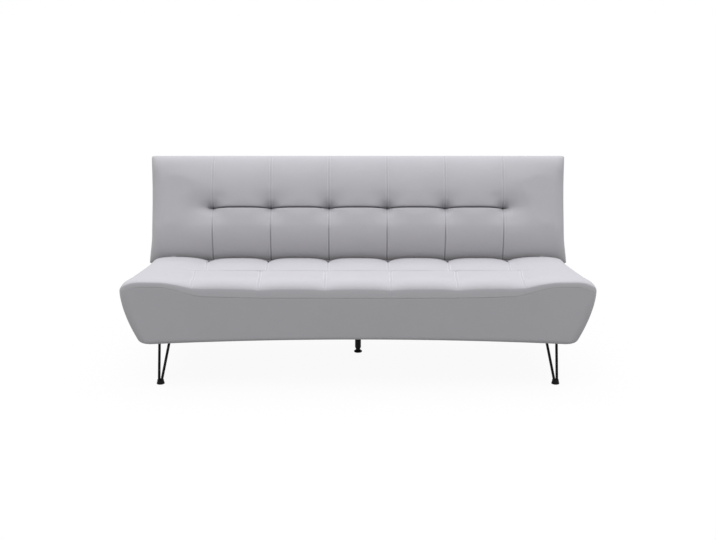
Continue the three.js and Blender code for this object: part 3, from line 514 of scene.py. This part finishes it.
def joined(made, colour, rough, height, depth, **even):
    """Leads a finish's colour, roughness and height to its shader, the height as a bump of a depth
    in metres. Even values are set on the sockets that they name."""
    shader = made.node_tree.nodes["Principled BSDF"]
    bump = rough.node("ShaderNodeBump", {"Strength": 0.3, "Distance": depth, "Height": height})
    for socket, wire in (("Base Color", colour), ("Roughness", rough), ("Normal", bump)):
        made.node_tree.links.new(wire.socket, shader.inputs[socket])
    for socket, value in even.items():
        shader.inputs[socket.replace("_", " ")].default_value = value
    return made


def noise(place, scale, detail=2.0):
    """Soft noise from 0 to 1 at a place, with so many waves to a metre."""
    return place.node("ShaderNodeTexNoise", {"Vector": place, "Scale": scale, "Detail": detail})


def cover_finish():
    """Grey woven cover: a fine plain weave, mottled a little by yarn and by hand, with painted shade
    darkening it down in the sewn creases."""
    made, place = new_finish("grey cover")
    cloth = place.node("ShaderNodeUVMap", uv_map="cloth")
    yarn = place.node("ShaderNodeVectorMath", {0: cloth, 3: 2 * math.pi / 0.0018}, operation="SCALE")
    weave = yarn.part(0).wave() * yarn.part(1).wave()
    fleck = noise(place, 420.0)
    crease = place.node("ShaderNodeAttribute", output="Fac", attribute_name="crease")
    shade = noise(place, 9.0, 3.0) * 0.35 + fleck * 0.35 + weave * 0.06 + 0.15
    # The crease attribute blends the colour towards dark grey: painted shade in the seams, along the fold and
    # round the pulls.
    colour = crease.tint(shade.tint(tone(172, 171, 175), tone(185, 184, 188)), tone(62, 60, 66))
    return joined(made, colour, fleck * 0.12 + 0.82, weave * 0.5 + fleck * 0.8, 0.0004,
                  Specular_IOR_Level=0.25, Sheen_Weight=0.12, Sheen_Roughness=0.5)


grey_cover = cover_finish()


def dressed(piece, body, slot, finish, *nodes):
    """Gives a piece its finish and the body that it rides on, and hides the nodes that it stands for. The
    slot is not used.
    """
    piece.data.materials.append(finish)
    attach(piece, body)
    if nodes:
        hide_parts(*nodes)


dressed(seat_cover, "seat", "upholstery", grey_cover, "seat_pad")


# Seat border: one padded band of the same cover round the front and both sides, sewn to the
# pad's rim. It flares out to the seam and is turned under at the foot and stapled.
def carried(name, sections, closed=False, crease=None):
    """A closed form from sections of equal stops, set one after another along a path. The first
    and last are capped, or joined where the path closes."""
    count = sections.shape[1]
    faces = grid_faces(*sections.shape[:2], wrap_rows=closed, wrap_columns=True)
    caps = [] if closed else [np.arange(count), (len(sections) - 1) * count + np.arange(count)]
    cloth = stacked(lengths(sections, 0), lengths(sections, 1)).reshape(-1, 2)
    return shell(name, sections.reshape(-1, 3), faces, caps, cloth, crease)


def border_section(rim):
    """Sections of the band below each rim point. The outer face leans in by a flare times
    the 1.7th power of the distance from the seam, is rounded at the foot and eased at the seam."""
    tall, seam_round, foot_round = 0.2, 0.0008, 0.014
    drop = 1 - spaced(0.009, rounding(seam_round, 7), tall - rounding(foot_round, 7)) / tall
    across, along, top = rim[:, :1], rim[:, 1:2], rim[:, 2:] - 0.0003
    corner, straight = seat["corner"], seat_half - seat["corner"]
    foot = 0.178 + 0.021 * np.maximum(1 - (across / seat_half) ** 2, 0)
    flare = (seat["width_at"](along) - 0.862) * (1 - drop) ** 1.7
    bend = (seam_round * (1 - rolled((1 - drop) * tall, seam_round))
            + foot_round * (1 - rolled(drop * tall, foot_round)))
    slant = 0.012 * (1 - drop) + bend
    side, deep = flare + bend, slant * (1 - np.maximum(along - corner, 0) / seat_depth)
    in_front = (along < corner) & (np.abs(across) < straight)
    reach = np.where(in_front, np.abs(across) * (1 - side / straight), np.abs(across) - side)
    face = stacked(np.sign(across) * reach, along + deep, foot + drop * (top - foot))
    inner_x, inner_y = inner_place(seat, rim, 0.0006)
    inner, under = stacked(inner_x, inner_y, top[:, 0]), stacked(inner_x, inner_y, foot[:, 0] + 0.002)
    hem = face[:, -1:] + (under[:, None] - face[:, -1:]) * np.array([0.15, 0.5])[None, :, None]
    hem[..., 2] = foot + 0.0005
    return np.concatenate([inner[:, None], face, hem, under[:, None]], axis=1)


band = border_section(np.concatenate([seat_sewn[:0:-1, 0], seat_sewn[0], seat_sewn[1:, -1]]))
# Painted shade along the band's inner edge and along its seam with the pad.
band_painted_shade = np.zeros(band.shape[:2])
band_painted_shade[:, :2] = 0.15, 0.05
seat_band = carried("seat_band", on_seat(band), crease=band_painted_shade)
dressed(seat_band, "seat", "upholstery", grey_cover,
        "seat_border_front", "seat_border_left", "seat_border_right")


# Seat rear band: the same cover over a thin pad across the rear of the seat frame, with two
# slots open at the foot for the hinge arms. It is wrapped round the rear rail and stapled.
def bar_section(thickness, low, high, radius, stops):
    """Sections of a bar as (thickness, height) places: quarter circles at the corners and even
    stops up the sides. low and high are the foot and top of each section."""
    turn = np.linspace(0, math.pi / 2, 5)
    rise, flat = radius * np.sin(turn), thickness / 2 - radius + radius * np.cos(turn)
    side = np.linspace(0, 1, stops)[1:-1]
    depth = np.concatenate([flat, -flat[::-1], 0 * side - thickness / 2, -flat, flat[::-1],
                            0 * side + thickness / 2])
    share = np.concatenate([np.ones(10), side[::-1], np.zeros(10), side])
    offset = np.concatenate([rise, rise[::-1], 0 * side, -rise, -rise[::-1], 0 * side])
    low, high = np.asarray(low)[:, None], np.asarray(high)[:, None]
    return depth + 0 * low, low + radius + share * (high - low - 2 * radius) + offset


slot_marks = np.array([0.7885, 0.7905, 0.8095, 0.8115])


def slotted(across):
    """1 inside the hinge arms' slots and 0 outside, over 2 mm of easing at their edges."""
    reach = np.abs(across)
    return eased(*slot_marks[:2], reach) * (1 - eased(*slot_marks[2:], reach))


thickness, end_round, band_y = 0.0192, 0.003, 0.11805
ends = frame_half - rounding(end_round, 5)
across = spaced(0.02, -ends, ends, -slot_marks, slot_marks)
shrink = end_round * (1 - rolled(frame_half - np.abs(across), end_round))
low, high = 0.2366 + 0.1266 * slotted(across) + shrink, 0.3894 - shrink
depth, height = bar_section(thickness, low, high, 0.004, 12)
depth = depth * (1 - shrink / (thickness / 2))[:, None]
rear_band = carried("seat_rear_band", stacked(across[:, None], band_y + depth, height),
                    crease=np.zeros(depth.shape))
dressed(rear_band, "seat", "upholstery", grey_cover, "seat_border_rear")


# Backrest pad: the same sewn cover over foam, drawn in deeply along one line across, where
# the panels above and below swell towards the sitter. Its lower edge is notched for the hinges.
lean = math.radians(18)
pivot_y, pivot_z = 0.160873, 0.363
back_end = 0.477
back_half, back_depth, back_pitch, back_fold_share = 0.905, 0.468, 0.252, 0.500


def back_fold(off):
    """The draw-in at the fold line, falling off exponentially on both sides: the cover rolls in
    tightly above the line and swells straight out again below it."""
    above = 0.010 * np.exp(np.minimum(off, 0) / 0.003) + 0.003 * np.exp(np.minimum(off, 0) / 0.02)
    below = 0.010 * np.exp(-np.maximum(off, 0) / 0.0022) + 0.003 * np.exp(-np.maximum(off, 0) / 0.03)
    return np.where(off < 0, above, below)


def back_half_width(along):
    """Half the backrest's width: hollowed by 6 mm at half height, and 7 mm out at the foot."""
    share = along / back_depth
    return back_half - 0.006 * (1 - (2 * share - 1) ** 2) + 0.007 * eased(0.74, 1, share)


def back_top_roll(across):
    """Radius and power of the roll over the backrest's top: long, and shorter at the ends."""
    return 0.168 - 0.092 * eased(0.60, 0.85, across), 2


back = {
    "half": back_half, "depth": back_depth, "corner": 0.010, "pitch": back_pitch, "corner_stops": 6,
    "fold": back_fold_share * back_depth, "fold_dip": back_fold, "fold_fade": 0.035, "fold_bow": 0.0015,
    "jog": lambda off: 0 * off, "seam_dip": 0.006, "pull_dip": 0.024, "pull_radius": 0.090,
    "seam_width": lambda share: 0.0016 + 0.0010 * eased(0.5, 1, share),
    "near_face": lambda across: 0 * across, "near_roll": back_top_roll,
    "far_roll": (0.160, 1.5), "side_roll": (0.045, 2),
    "edge_roll": 0.050, "roll_stops": 12, "row_step": 0.006, "marks": slot_marks,
    "near_stops": [0.0005, 0.0012, 0.002], "foot": -0.027, "inner_start": 0.0203, "inner_end": 0.4477,
    "pressure": 3, "seam_hold": 0.8, "fold_hold": 1.0, "cap": 0.005,
    "width_at": back_half_width,
    "seam_at": lambda across, share: 0.022 * (1 - eased(0.55, 1, share)),
    "crown": lambda across, along: 0.090 - 0.030 * eased(0.55, 0.88, across),
}


def on_back(points):
    """Backrest places (across, down from the top, height off the pivot plane) in the sofa's
    frame: the plane goes up and back at the lean, through the hinge pivot."""
    up, out = back_end - points[..., 1], points[..., 2]
    return stacked(points[..., 0], pivot_y + up * math.sin(lean) - out * math.cos(lean),
                   pivot_z + up * math.cos(lean) + out * math.sin(lean))


back_columns, back_rows, back_sewn, back_top = sewn_pad(back)
notched = slotted(back_columns)
low_edge = back_top[..., 1] > back_depth - 0.020
back_top[..., 2] = np.where(low_edge, np.maximum(back_top[..., 2], 0.027 * notched), back_top[..., 2])
seam_line, fold_line = sewn_lines(back, back_columns, back_rows)
back_fade = rolled(back_rows, 0.02) * rolled(1 - back_rows, 0.02)
seam_depth = (0.0010 + 0.0022 * eased(0.5, 0.8, back_rows))[:, None] * seam_line
back_top[..., 2] -= (seam_depth + 0.004 * fold_line) * back_fade[:, None]
# Painted shade along the seams, stronger on the lower half.
seam_shade = (0.05 + 0.40 * eased(0.5, 0.8, back_rows))[:, None] * seam_line
# Painted shade from the pulls darkens the cover beside each seam above the fold, and not below it.
column, share = np.meshgrid(back_columns, back_rows)
gap = np.where(np.abs(column) < 2.6 * back_pitch, seam_gap(column, back_pitch), back_pitch)
above = np.maximum(back_fold_share - share, 0) * back_depth + (share > back_fold_share + 0.005)
pull_shade = 0.38 * np.exp(-(gap / 0.034) ** 2 - (above / 0.022) ** 2)
# Painted shade along the fold line, lighter near the crossings.
fold_shade = (0.75 - 0.35 * np.exp(-(gap / 0.020) ** 2)) * fold_line
back_painted_shade = np.maximum(np.maximum(seam_shade, fold_shade), pull_shade)
back_cover = pad_shell("back_cover", back, back_top, on_back, back_painted_shade)
dressed(back_cover, "backrest", "upholstery", grey_cover, "back_pad")


# Backrest boxing: one padded band of the cover round all four sides behind the pad's seam,
# wrapped round the timber frame. Its lower side has two slots for the hinge arms.
back_rim = back_sewn.reshape(-1, 3)[edge_round(*back_sewn.shape[:2])]
across, along, seam = back_rim[:, :1], back_rim[:, 1:2], back_rim[:, 2:]
inner_x, inner_y = inner_place(back, back_rim, 0.0006)
inward = unit(stacked(inner_x, inner_y) - back_rim[:, :2])
bottom = along > back_depth - 0.0005
top = np.where(bottom, seam - (0.078 + seam) * slotted(across), seam) - 0.0003
deep, wide, seam_round, rear_round = 0.108, 0.13, 0.004, 0.010
share = spaced(0.012, rounding(seam_round, 6), wide - rounding(rear_round, 6)) / wide
run, left = share * (top + deep), (1 - share) * (top + deep)
inset = seam_round * (1 - rolled(run, seam_round)) + rear_round * (1 - rolled(left, rear_round))
inset = inset - 0.003 * np.sin(math.pi * share) * ~bottom
face = stacked(across + inward[:, :1] * inset, along + inward[:, 1:] * inset, top - run)
inner, hem = stacked(inner_x, inner_y, top[:, 0])[:, None], stacked(inner_x, inner_y, -deep)[:, None]
# Painted shade along the boxing's inner edge and along its seam with the pad.
ring_painted_shade = np.zeros((len(face), face.shape[1] + 2))
ring_painted_shade[:, :2] = 0.5, 0.35
boxing = carried("back_boxing", on_back(np.concatenate([inner, face, hem], axis=1)), True, ring_painted_shade)
dressed(boxing, "backrest", "upholstery", grey_cover,
        "back_border_top", "back_border_bottom", "back_border_left", "back_border_right")


# Backrest rear panel: a sheet of the same cover drawn over the back of the frame, its edges
# folded under and stapled. It dips a little between the rails and the middle stile.
def leaf(name, face, back_off):
    """A thin closed sheet: a grid of points and the same grid moved by back_off, joined round
    the rim."""
    rows, columns = face.shape[:2]
    rim = edge_round(rows, columns)
    loops = np.stack([rim, rows * columns + rim]).ravel()
    faces = np.concatenate([grid_faces(rows, columns), grid_faces(rows, columns, rows * columns),
                            loops[grid_faces(2, len(rim), wrap_columns=True)]])
    cloth = np.tile(stacked(lengths(face, 1), lengths(face, 0)).reshape(-1, 2), (2, 1))
    both = np.concatenate([face.reshape(-1, 3), (face + back_off).reshape(-1, 3)])
    return shell(name, both, faces, (), cloth, np.zeros(len(both)))


panel_across, panel_along = np.meshgrid(np.linspace(-1, 1, 121), np.linspace(0, 1, 41))
edge = np.minimum(1 - np.abs(panel_across), np.minimum(panel_along, 1 - panel_along) * 2)
along = 0.005 + 0.458 * panel_along
across = panel_across * (back["width_at"](along) - 0.005)
bay = np.abs(np.sin(math.pi * panel_across)) * np.sin(math.pi * panel_along)
pucker = np.sin(across * 2 * math.pi / 0.045) * np.sin(along * 2 * math.pi / 0.045)
sink = 0.0011 * bay + 0.0003 * pucker * np.exp(-edge / 0.04) + 0.0010 * (1 - rolled(edge, 0.004))
rear_panel = leaf("back_rear_cover", on_back(stacked(across, along, -0.1112 + sink)),
                  0.0014 * np.array([0, -math.cos(lean), math.sin(lean)]))
dressed(rear_panel, "backrest", "upholstery", grey_cover, "back_rear_panel")


# Topstitching: two rows of thread along every seam of both pads, 3 mm stitches sunk into the
# cover at both ends. A row of the same thread holds the hem of the rear panel.
def stitches(name, starts, ends, out, radius, rise, place):
    """Short rods from starts to ends on a surface with outward normals: five rings of six stops,
    thinner and sunk at both ends."""
    share, lift = np.array([0, 0.12, 0.5, 0.88, 1]), rise * np.array([-1, 0.7, 1, 0.7, -1])
    thick = radius * np.array([0.5, 0.95, 1, 0.95, 0.5])
    side = unit(np.cross(ends - starts, out))
    path = (starts[:, None] + (ends - starts)[:, None] * share[:, None]
            + out[:, None] * lift[:, None])[:, :, None]
    turn = (np.arange(6) * math.pi / 3)[:, None]
    ring = np.cos(turn) * side[:, None, None] + np.sin(turn) * out[:, None, None]
    points = path + ring * thick[:, None, None]
    rod = np.concatenate([grid_faces(5, 6, wrap_columns=True),
                          [[0, 1, 2, 3], [0, 3, 4, 5], [24, 25, 26, 27], [24, 27, 28, 29]]])
    faces = (rod + 30 * np.arange(len(starts))[:, None, None]).reshape(-1, 4)
    return shell(name, place(points.reshape(-1, 3)), faces)


def seam_rows(top, columns, shares, pad, gap, reach):
    """Starts, ends and normals of stitches 4 mm apart along both sides of each seam of a pad."""
    lines = np.sort(np.concatenate([seam_places(pad) - gap, seam_places(pad) + gap]))
    dense = np.linspace(reach, 1 - reach, 500)

    def spots(places, on):
        across = resampled(top, between_stops(columns, places), 1)
        return resampled(across, between_stops(shares, on), 0)

    run = lengths(spots(lines, dense), 0).mean(axis=1)
    begin, long = np.arange(0.002, run[-1] - 0.004, 0.004), 0.003
    first, last = np.interp(begin, run, dense), np.interp(begin + long, run, dense)
    starts, ends = spots(lines, first), spots(lines, last)
    out = unit(np.cross(spots(lines + 0.001, first) - spots(lines - 0.001, first), ends - starts))
    return starts.reshape(-1, 3), ends.reshape(-1, 3), (out * np.sign(out[..., 2:])).reshape(-1, 3)


def thread_finish():
    """Pale grey polyester thread with the fine slant of its twist."""
    made, place = new_finish("grey thread")
    twist = place.node("ShaderNodeVectorMath", {0: place, 1: (1, 1, 1)}, output=1, operation="DOT_PRODUCT")
    strand = (twist * (2 * math.pi / 0.0007)).wave()
    shade = noise(place, 60.0) + strand * 0.2
    colour = shade.tint(tone(208, 207, 211), tone(226, 225, 229))
    return joined(made, colour, shade * 0.1 + 0.5, strand, 0.0001)


thread = thread_finish()
seat_thread = stitches("seat_topstitch", *seam_rows(seat_top, seat_columns, seat_rows, seat, 0.006, 0.012),
                       0.0006, 0.0003, on_seat)
dressed(seat_thread, "seat", "upholstery", thread)
back_thread = stitches("back_topstitch", *seam_rows(back_top, back_columns, back_rows, back, 0.006, 0.015),
                       0.0005, 0.0003, on_back)
dressed(back_thread, "backrest", "upholstery", thread)
hem_across, hem_along = np.arange(-0.880, 0.880, 0.006), np.arange(0.022, 0.446, 0.006)
hem_level, stitch = -0.1108, 0.004
starts = np.concatenate([stacked(hem_across, line, hem_level) for line in (0.018, 0.450)]
                        + [stacked(line, hem_along, hem_level) for line in (-0.882, 0.882)])
ends = starts + np.repeat([[stitch, 0, 0], [0, stitch, 0]], [2 * len(hem_across), 2 * len(hem_along)], axis=0)
hem_thread = stitches("back_hem_stitch", starts, ends, np.tile([0, 0, -1.0], (len(starts), 1)),
                      0.0004, 0.0003, on_back)
dressed(hem_thread, "backrest", "upholstery", thread)


# Webbing: elastic straps under both pads, 50 mm wide, woven in ribs and stapled to the rails.
# Each hangs a few millimetres below the rails in the middle.
def webbing_finish():
    """Dark elastic webbing: ribs across its width, two pale stripes along it."""
    made, place = new_finish("webbing")
    cloth = place.node("ShaderNodeUVMap", uv_map="cloth")
    rib = (cloth.part(0) * (2 * math.pi / 0.0022)).wave()
    stripe = (cloth.part(1) * (2 * math.pi / 0.0174)).wave().between(0.75, 0.9)
    fibre = noise(place, 700.0)
    shade = rib * 0.15 + fibre * 0.5 + stripe * 0.5 + 0.1
    return joined(made, shade.tint(tone(50, 47, 44), tone(92, 87, 80)), fibre * 0.2 + 0.75, rib, 0.0005)


webbing = webbing_finish()
for name in sorted(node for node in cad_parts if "strap" in node):
    low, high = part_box(name)
    if name.startswith("seat"):
        body, rail, place = "seat", "seat_rail_front", np.asarray
        start, length, level = low.y, high.y - low.y, (low.z + high.z) / 2
    else:
        body, rail, place = "backrest", "back_rail_top", on_back
        start, length, level = 0.0206, 0.4266, -0.0285
    along = np.linspace(0, 1, 25)[:, None]
    thick, wide = bar_section(0.0022, np.full(25, low.x), np.full(25, high.x), 0.0009, 7)
    height = level + thick - 0.003 * np.sin(math.pi * along)
    strap = carried(name + "_webbing", place(stacked(wide, start + length * along, height)))
    dressed(strap, body, "webbing", webbing, name)


# Dust covers: black non-woven lining under the seat rails on both sides of the middle beam,
# stapled every 45 mm and slack between.
def lining_finish():
    """Black spun lining: a felt of fine fibres with a rare pale one, dimpled by the bonding."""
    made, place = new_finish("black lining")
    fibre, dimple = noise(place, 900.0, 4.0), noise(place, 260.0)
    shade = fibre.between(0.35, 0.75) * 0.8 + dimple * 0.2
    return joined(made, shade.tint(tone(26, 26, 28), tone(58, 58, 61)), dimple * 0.15 + 0.8,
                  fibre + dimple, 0.0004)


def zinc_finish():
    """Zinc plated steel: pale grey with cloudy spangle, a little duller where it is handled."""
    made, place = new_finish("zinc plate")
    cloud, grain = noise(place, 55.0, 4.0), noise(place, 900.0)
    shade = cloud.between(0.3, 0.7) * 0.8 + grain * 0.2
    return joined(made, shade.tint(tone(150, 152, 154), tone(192, 194, 196)), cloud * 0.25 + 0.25,
                  grain, 0.0001, Metallic=0.9)


lining, zinc = lining_finish(), zinc_finish()
for word in ("left", "right"):
    low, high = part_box("dust_cover_" + word)
    across, along = np.meshgrid(np.linspace(low.x, high.x, 76), np.linspace(low.y, high.y, 57))
    edge = np.minimum(np.minimum(across - low.x, high.x - across), np.minimum(along - low.y, high.y - along))
    sag = 0.004 * rolled(edge, 0.25)
    crimp = 0.0005 * np.cos(across * 2 * math.pi / 0.045) * np.cos(along * 2 * math.pi / 0.045)
    level = high.z - 0.0008 - sag + crimp * np.exp(-edge / 0.03)
    cover = leaf("seat_dust_cover_" + word, stacked(across, along, level), np.array([0, 0, 0.0006]))
    dressed(cover, "seat", "lining", lining, "dust_cover_" + word)
    across = np.arange(low.x + 0.02, high.x - 0.02, 0.045)
    starts = np.concatenate([stacked(across, line, high.z - 0.0009)
                             for line in (low.y + 0.010, high.y - 0.032)])
    ends = starts + np.array([0.010, 0, 0])
    staples = stitches("dust_cover_staples_" + word, starts, ends, np.tile([0, 0, -1.0], (len(starts), 1)),
                       0.0006, 0.0004, lambda points: points)
    dressed(staples, "seat", "zinc_steel", zinc)


# Timber frames: planed softwood rails, stiles and beams, glued and screwed. They stay as the
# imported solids, and their grain runs the long way of each piece.
def timber_finish(name, axis):
    """Pine: growth bands and fibres drawn out 30 times along the grain's axis, with dusty pores."""
    made, place = new_finish(name)
    along = place.node("ShaderNodeVectorMath", {0: place, 1: axis}, output=1, operation="DOT_PRODUCT")
    drawn = place.node("ShaderNodeVectorMath", {0: axis, 3: along * (1 / 30 - 1)}, operation="SCALE")
    grain = place.node("ShaderNodeVectorMath", {0: place, 1: drawn}, operation="ADD")
    band, fibre = noise(grain, 75.0, 3.0), noise(grain, 800.0)
    late = (band * 26.0).wave() * 0.5 + 0.5
    shade = late * 0.45 + fibre * 0.35 + noise(place, 4.0) * 0.2
    return joined(made, shade.tint(tone(222, 190, 142), tone(184, 143, 92)), fibre * 0.2 + 0.55,
                  fibre * 0.7 + late * 0.3, 0.0004)


across_grain = timber_finish("timber across", (1.0, 0.0, 0.0))
along_grain = timber_finish("timber along", (0.0, 1.0, 0.0))
leaning_grain = timber_finish("timber leaning", (0.0, math.sin(lean), math.cos(lean)))
grains = {across_grain: ("seat_rail_front", "seat_rail_rear", "base_beam_rear", "back_rail_top",
                         "back_rail_bottom"),
          along_grain: ("seat_rail_left", "seat_rail_right", "base_beam_left", "base_beam_right",
                        "base_beam_centre"),
          leaning_grain: ("back_rail_left", "back_rail_right", "back_centre_stile")}
for finish, names in grains.items():
    for name in names:
        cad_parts[name].data.materials.clear()
        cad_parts[name].data.materials.append(finish)


# Hinges: pressed plates with a ratchet sector, a pawl each side and riveted pivots, all zinc
# plated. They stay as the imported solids.
for name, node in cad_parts.items():
    if name.startswith(("hinge_", "pawl_", "ratchet_")):
        node.data.materials.clear()
        node.data.materials.append(zinc)


# Hairpin legs: one 10.6 mm steel rod bent at the foot and welded to a three cornered plate that
# three screws hold under the side beam. Plate, rod and welds are powder coated black.
rod_outer, rod_inner, rod_bend = 0.7965, 0.7465, 0.7915
reach_outer, reach_inner = 0.054, 0.020
rod_radius, weld, plate_round = 0.0053, 0.0035, 0.014
plate_low, plate_high = 0.1947, 0.1977
feet = (("front", front + 0.066), ("rear", front + 0.664))
sides = ((-1, "left"), (1, "right"))


def coat_finish():
    """Black powder coat: a fine orange peel, satin, a little smoother in patches."""
    made, place = new_finish("black coat")
    peel, patch = noise(place, 650.0), noise(place, 18.0)
    shade = peel * 0.5 + patch * 0.5
    return joined(made, shade.tint(tone(6, 6, 7), tone(14, 14, 15)), patch * 0.15 + 0.35, peel, 0.0002,
                  Specular_IOR_Level=0.12)


def plate_rings(outline, low, high, edge):
    """Rings of a plate's outline from low to high, drawn in by an edge radius at both faces."""
    step = np.roll(outline, -1, axis=0) - np.roll(outline, 1, axis=0)
    out = unit(stacked(step[:, 1], -step[:, 0]))
    turn = np.linspace(0, math.pi / 2, 4)
    inset = edge * np.concatenate([1 - np.sin(turn), 1 - np.cos(turn)])
    level = np.concatenate([low + edge * (1 - np.cos(turn)), high - edge * (1 - np.sin(turn))])
    flat = outline - out * inset[:, None, None]
    return stacked(flat[..., 0], flat[..., 1], level[:, None])


def whole_turn(stops):
    """Even angles once round."""
    return np.linspace(0, 2 * math.pi, stops, endpoint=False)


def lathed(profile, x, y, stops=32):
    """Rings of a turned piece about a post at x and y, from radius and height pairs."""
    radius, level = np.array(profile).T[..., None]
    turn = whole_turn(stops)
    return stacked(x + radius * np.cos(turn), y + radius * np.sin(turn), level)


def hairpin_path(side, foot_y, towards):
    """The rod's middle line: straight from the outer weld, once round a bend, up to the inner."""
    top = 0.1962
    outer = np.array([rod_outer, foot_y + towards * reach_outer, top])
    inner = np.array([rod_inner, foot_y + towards * reach_inner, top])
    spread = 0.0075 * unit((outer - inner) * [1, 1, 0])
    bend = np.array([rod_bend, foot_y, 0.018])
    share = np.linspace(0, 1, 17)[:, None]
    low = (1 - share) ** 2 * (bend + spread) + 2 * share * (1 - share) * (bend - [0, 0, 0.013]) + (
        share ** 2 * (bend - spread))
    down = np.concatenate([np.linspace(0, 0.035, 9), np.linspace(0.1, 0.95, 8)])[:, None]
    path = np.concatenate([outer + down * (bend + spread - outer), low,
                           (inner + down * (bend - spread - inner))[::-1]])
    return path * [side, 1, 1]


def rod_rings(path, radius, weld):
    """Rings round a middle line that stays near one plane, flared by a rippled weld at both tops."""
    ahead = unit(np.gradient(path, axis=0))
    flat = np.cross(path[0] - path[len(path) // 2], path[-1] - path[len(path) // 2])
    flat = unit(flat - ahead * (ahead @ flat)[:, None])
    other, turn = np.cross(ahead, flat), whole_turn(16)
    bead = np.exp(-(path[0, 2] - path[:, 2:]) / 0.0022) * (1 + 0.2 * np.cos(4 * turn))
    reach = (radius + weld * bead)[..., None]
    outwards = np.cos(turn)[:, None] * flat[:, None] + np.sin(turn)[:, None] * other[:, None]
    return path[:, None] + reach * outwards


def screw_head(x, y, low, radius, depth):
    """Rings of a round screw head seen from below, its dome pressed with a cross."""
    share, turn = np.linspace(1, 0.02, 9)[:, None], whole_turn(32)
    across, along = share * np.cos(turn), share * np.sin(turn)
    arm = np.minimum(np.abs(across), np.abs(along))
    cross = (1 - eased(0.10, 0.2, arm)) * (1 - eased(0.5, 0.62, share))
    level = low - depth * np.sqrt(np.maximum(1 - 0.8 * share ** 2, 0)) + 0.6 * depth * cross
    dome = stacked(x + radius * across, y + radius * along, level)
    return np.concatenate([stacked(dome[:1, :, 0], dome[:1, :, 1], low + 0.001), dome])


black_coat = coat_finish()
for end, foot_y in feet:
    towards = 1 if end == "front" else -1
    weld_outer, weld_inner = foot_y + towards * reach_outer, foot_y + towards * reach_inner
    for side, word in sides:
        rod = carried("hairpin_rod_%s_%s" % (end, word),
                      rod_rings(hairpin_path(side, foot_y, towards), rod_radius, weld))
        dressed(rod, "seat", "black_steel", black_coat, "hairpin_leg_%s_%s" % (end, word))
        corners = np.array([[rod_outer, weld_outer], [rod_inner, weld_outer],
                            [rod_inner, weld_inner]]) * [side, 1]
        order = corners if side * towards > 0 else corners[::-1]
        step = np.roll(order, -1, axis=0) - order
        heading = np.arctan2(step[:, 1], step[:, 0]) - math.pi / 2
        before = np.roll(heading, 1)
        swing = (heading - before) % (2 * math.pi)
        turn = before[:, None] + swing[:, None] * np.linspace(0, 1, 9)
        outline = (order[:, None] + plate_round * stacked(np.cos(turn), np.sin(turn))).reshape(-1, 2)
        plate = carried("hairpin_plate_%s_%s" % (end, word),
                        plate_rings(outline, plate_low, plate_high, 0.0006))
        dressed(plate, "seat", "black_steel", black_coat)
        for number, place in enumerate((order + np.roll(order, -1, axis=0)) / 2):
            head = carried("leg_screw_%s_%s_%d" % (end, word, number + 1),
                           screw_head(*place, plate_low, 0.005, 0.0025))
            dressed(head, "seat", "black_steel", black_coat)


# Leg glides: moulded black caps that hold the bend of each rod, wider at the foot, with a
# rounded lip and a flat underside.
def plastic_finish():
    """Black moulded plastic: a fine spark texture, scuffed paler near the floor."""
    made, place = new_finish("black plastic")
    spark, scuff = noise(place, 1200.0), noise(place, 140.0, 4.0)
    low = 1 - place.part(2).between(0.0, 0.006)
    worn = scuff.between(0.5, 0.8) * low
    return joined(made, worn.tint(tone(12, 12, 13), tone(52, 52, 53)), spark * 0.15 + worn * 0.2 + 0.42,
                  spark, 0.0002, Specular_IOR_Level=0.14)


black_plastic = plastic_finish()
cap = [(0.0005, 0.0), (0.0148, 0.0), (0.0157, 0.0004), (0.016, 0.0012), (0.016, 0.0028), (0.0156, 0.0040),
       (0.0147, 0.0065), (0.0138, 0.0100), (0.0133, 0.0140), (0.0131, 0.0160), (0.0126, 0.0174),
       (0.0116, 0.018), (0.0090, 0.0176), (0.0005, 0.0174)]
for end, foot_y in feet:
    for side, word in sides:
        glide = carried("glide_cap_%s_%s" % (end, word), lathed(cap, side * rod_bend, foot_y))
        dressed(glide, "seat", "black_plastic", black_plastic, "leg_glide_%s_%s" % (end, word))


# Centre leg: a black steel tube welded to a round flange with three screws under the middle
# beam, and an adjustable foot on a stem: a flared disc under a neck.
centre_y = front + 0.460
post = [(0.0005, 0.0203), (0.0122, 0.0203), (0.0128, 0.0206), (0.013, 0.0213), (0.013, 0.1885),
        (0.0136, 0.1912), (0.0152, 0.1936), (0.0175, plate_low), (0.0312, plate_low), (0.0318, 0.195),
        (0.032, 0.1956), (0.032, 0.1968), (0.0316, plate_high), (0.0005, plate_high)]
centre_post = carried("centre_post", lathed(post, 0, centre_y, 48))
dressed(centre_post, "seat", "black_steel", black_coat, "centre_leg")
screw_circle = 0.0245
for number, turn in enumerate(math.pi * np.array([0.5, 7 / 6, 11 / 6])):
    x, y = screw_circle * math.cos(turn), centre_y + screw_circle * math.sin(turn)
    head = carried("centre_screw_%d" % (number + 1), screw_head(x, y, plate_low, 0.0042, 0.0022))
    dressed(head, "seat", "black_steel", black_coat)
disc = [(0.0005, 0.0), (0.0150, 0.0), (0.0166, 0.0005), (0.0174, 0.0018), (0.0175, 0.004), (0.0171, 0.0054),
        (0.0155, 0.0068), (0.0120, 0.0088), (0.0102, 0.0108), (0.0098, 0.013), (0.0098, 0.0186),
        (0.0092, 0.0197), (0.0082, 0.02), (0.0005, 0.02)]
dressed(carried("centre_foot", lathed(disc, 0, centre_y)), "seat", "black_plastic", black_plastic,
        "centre_leg_glide")
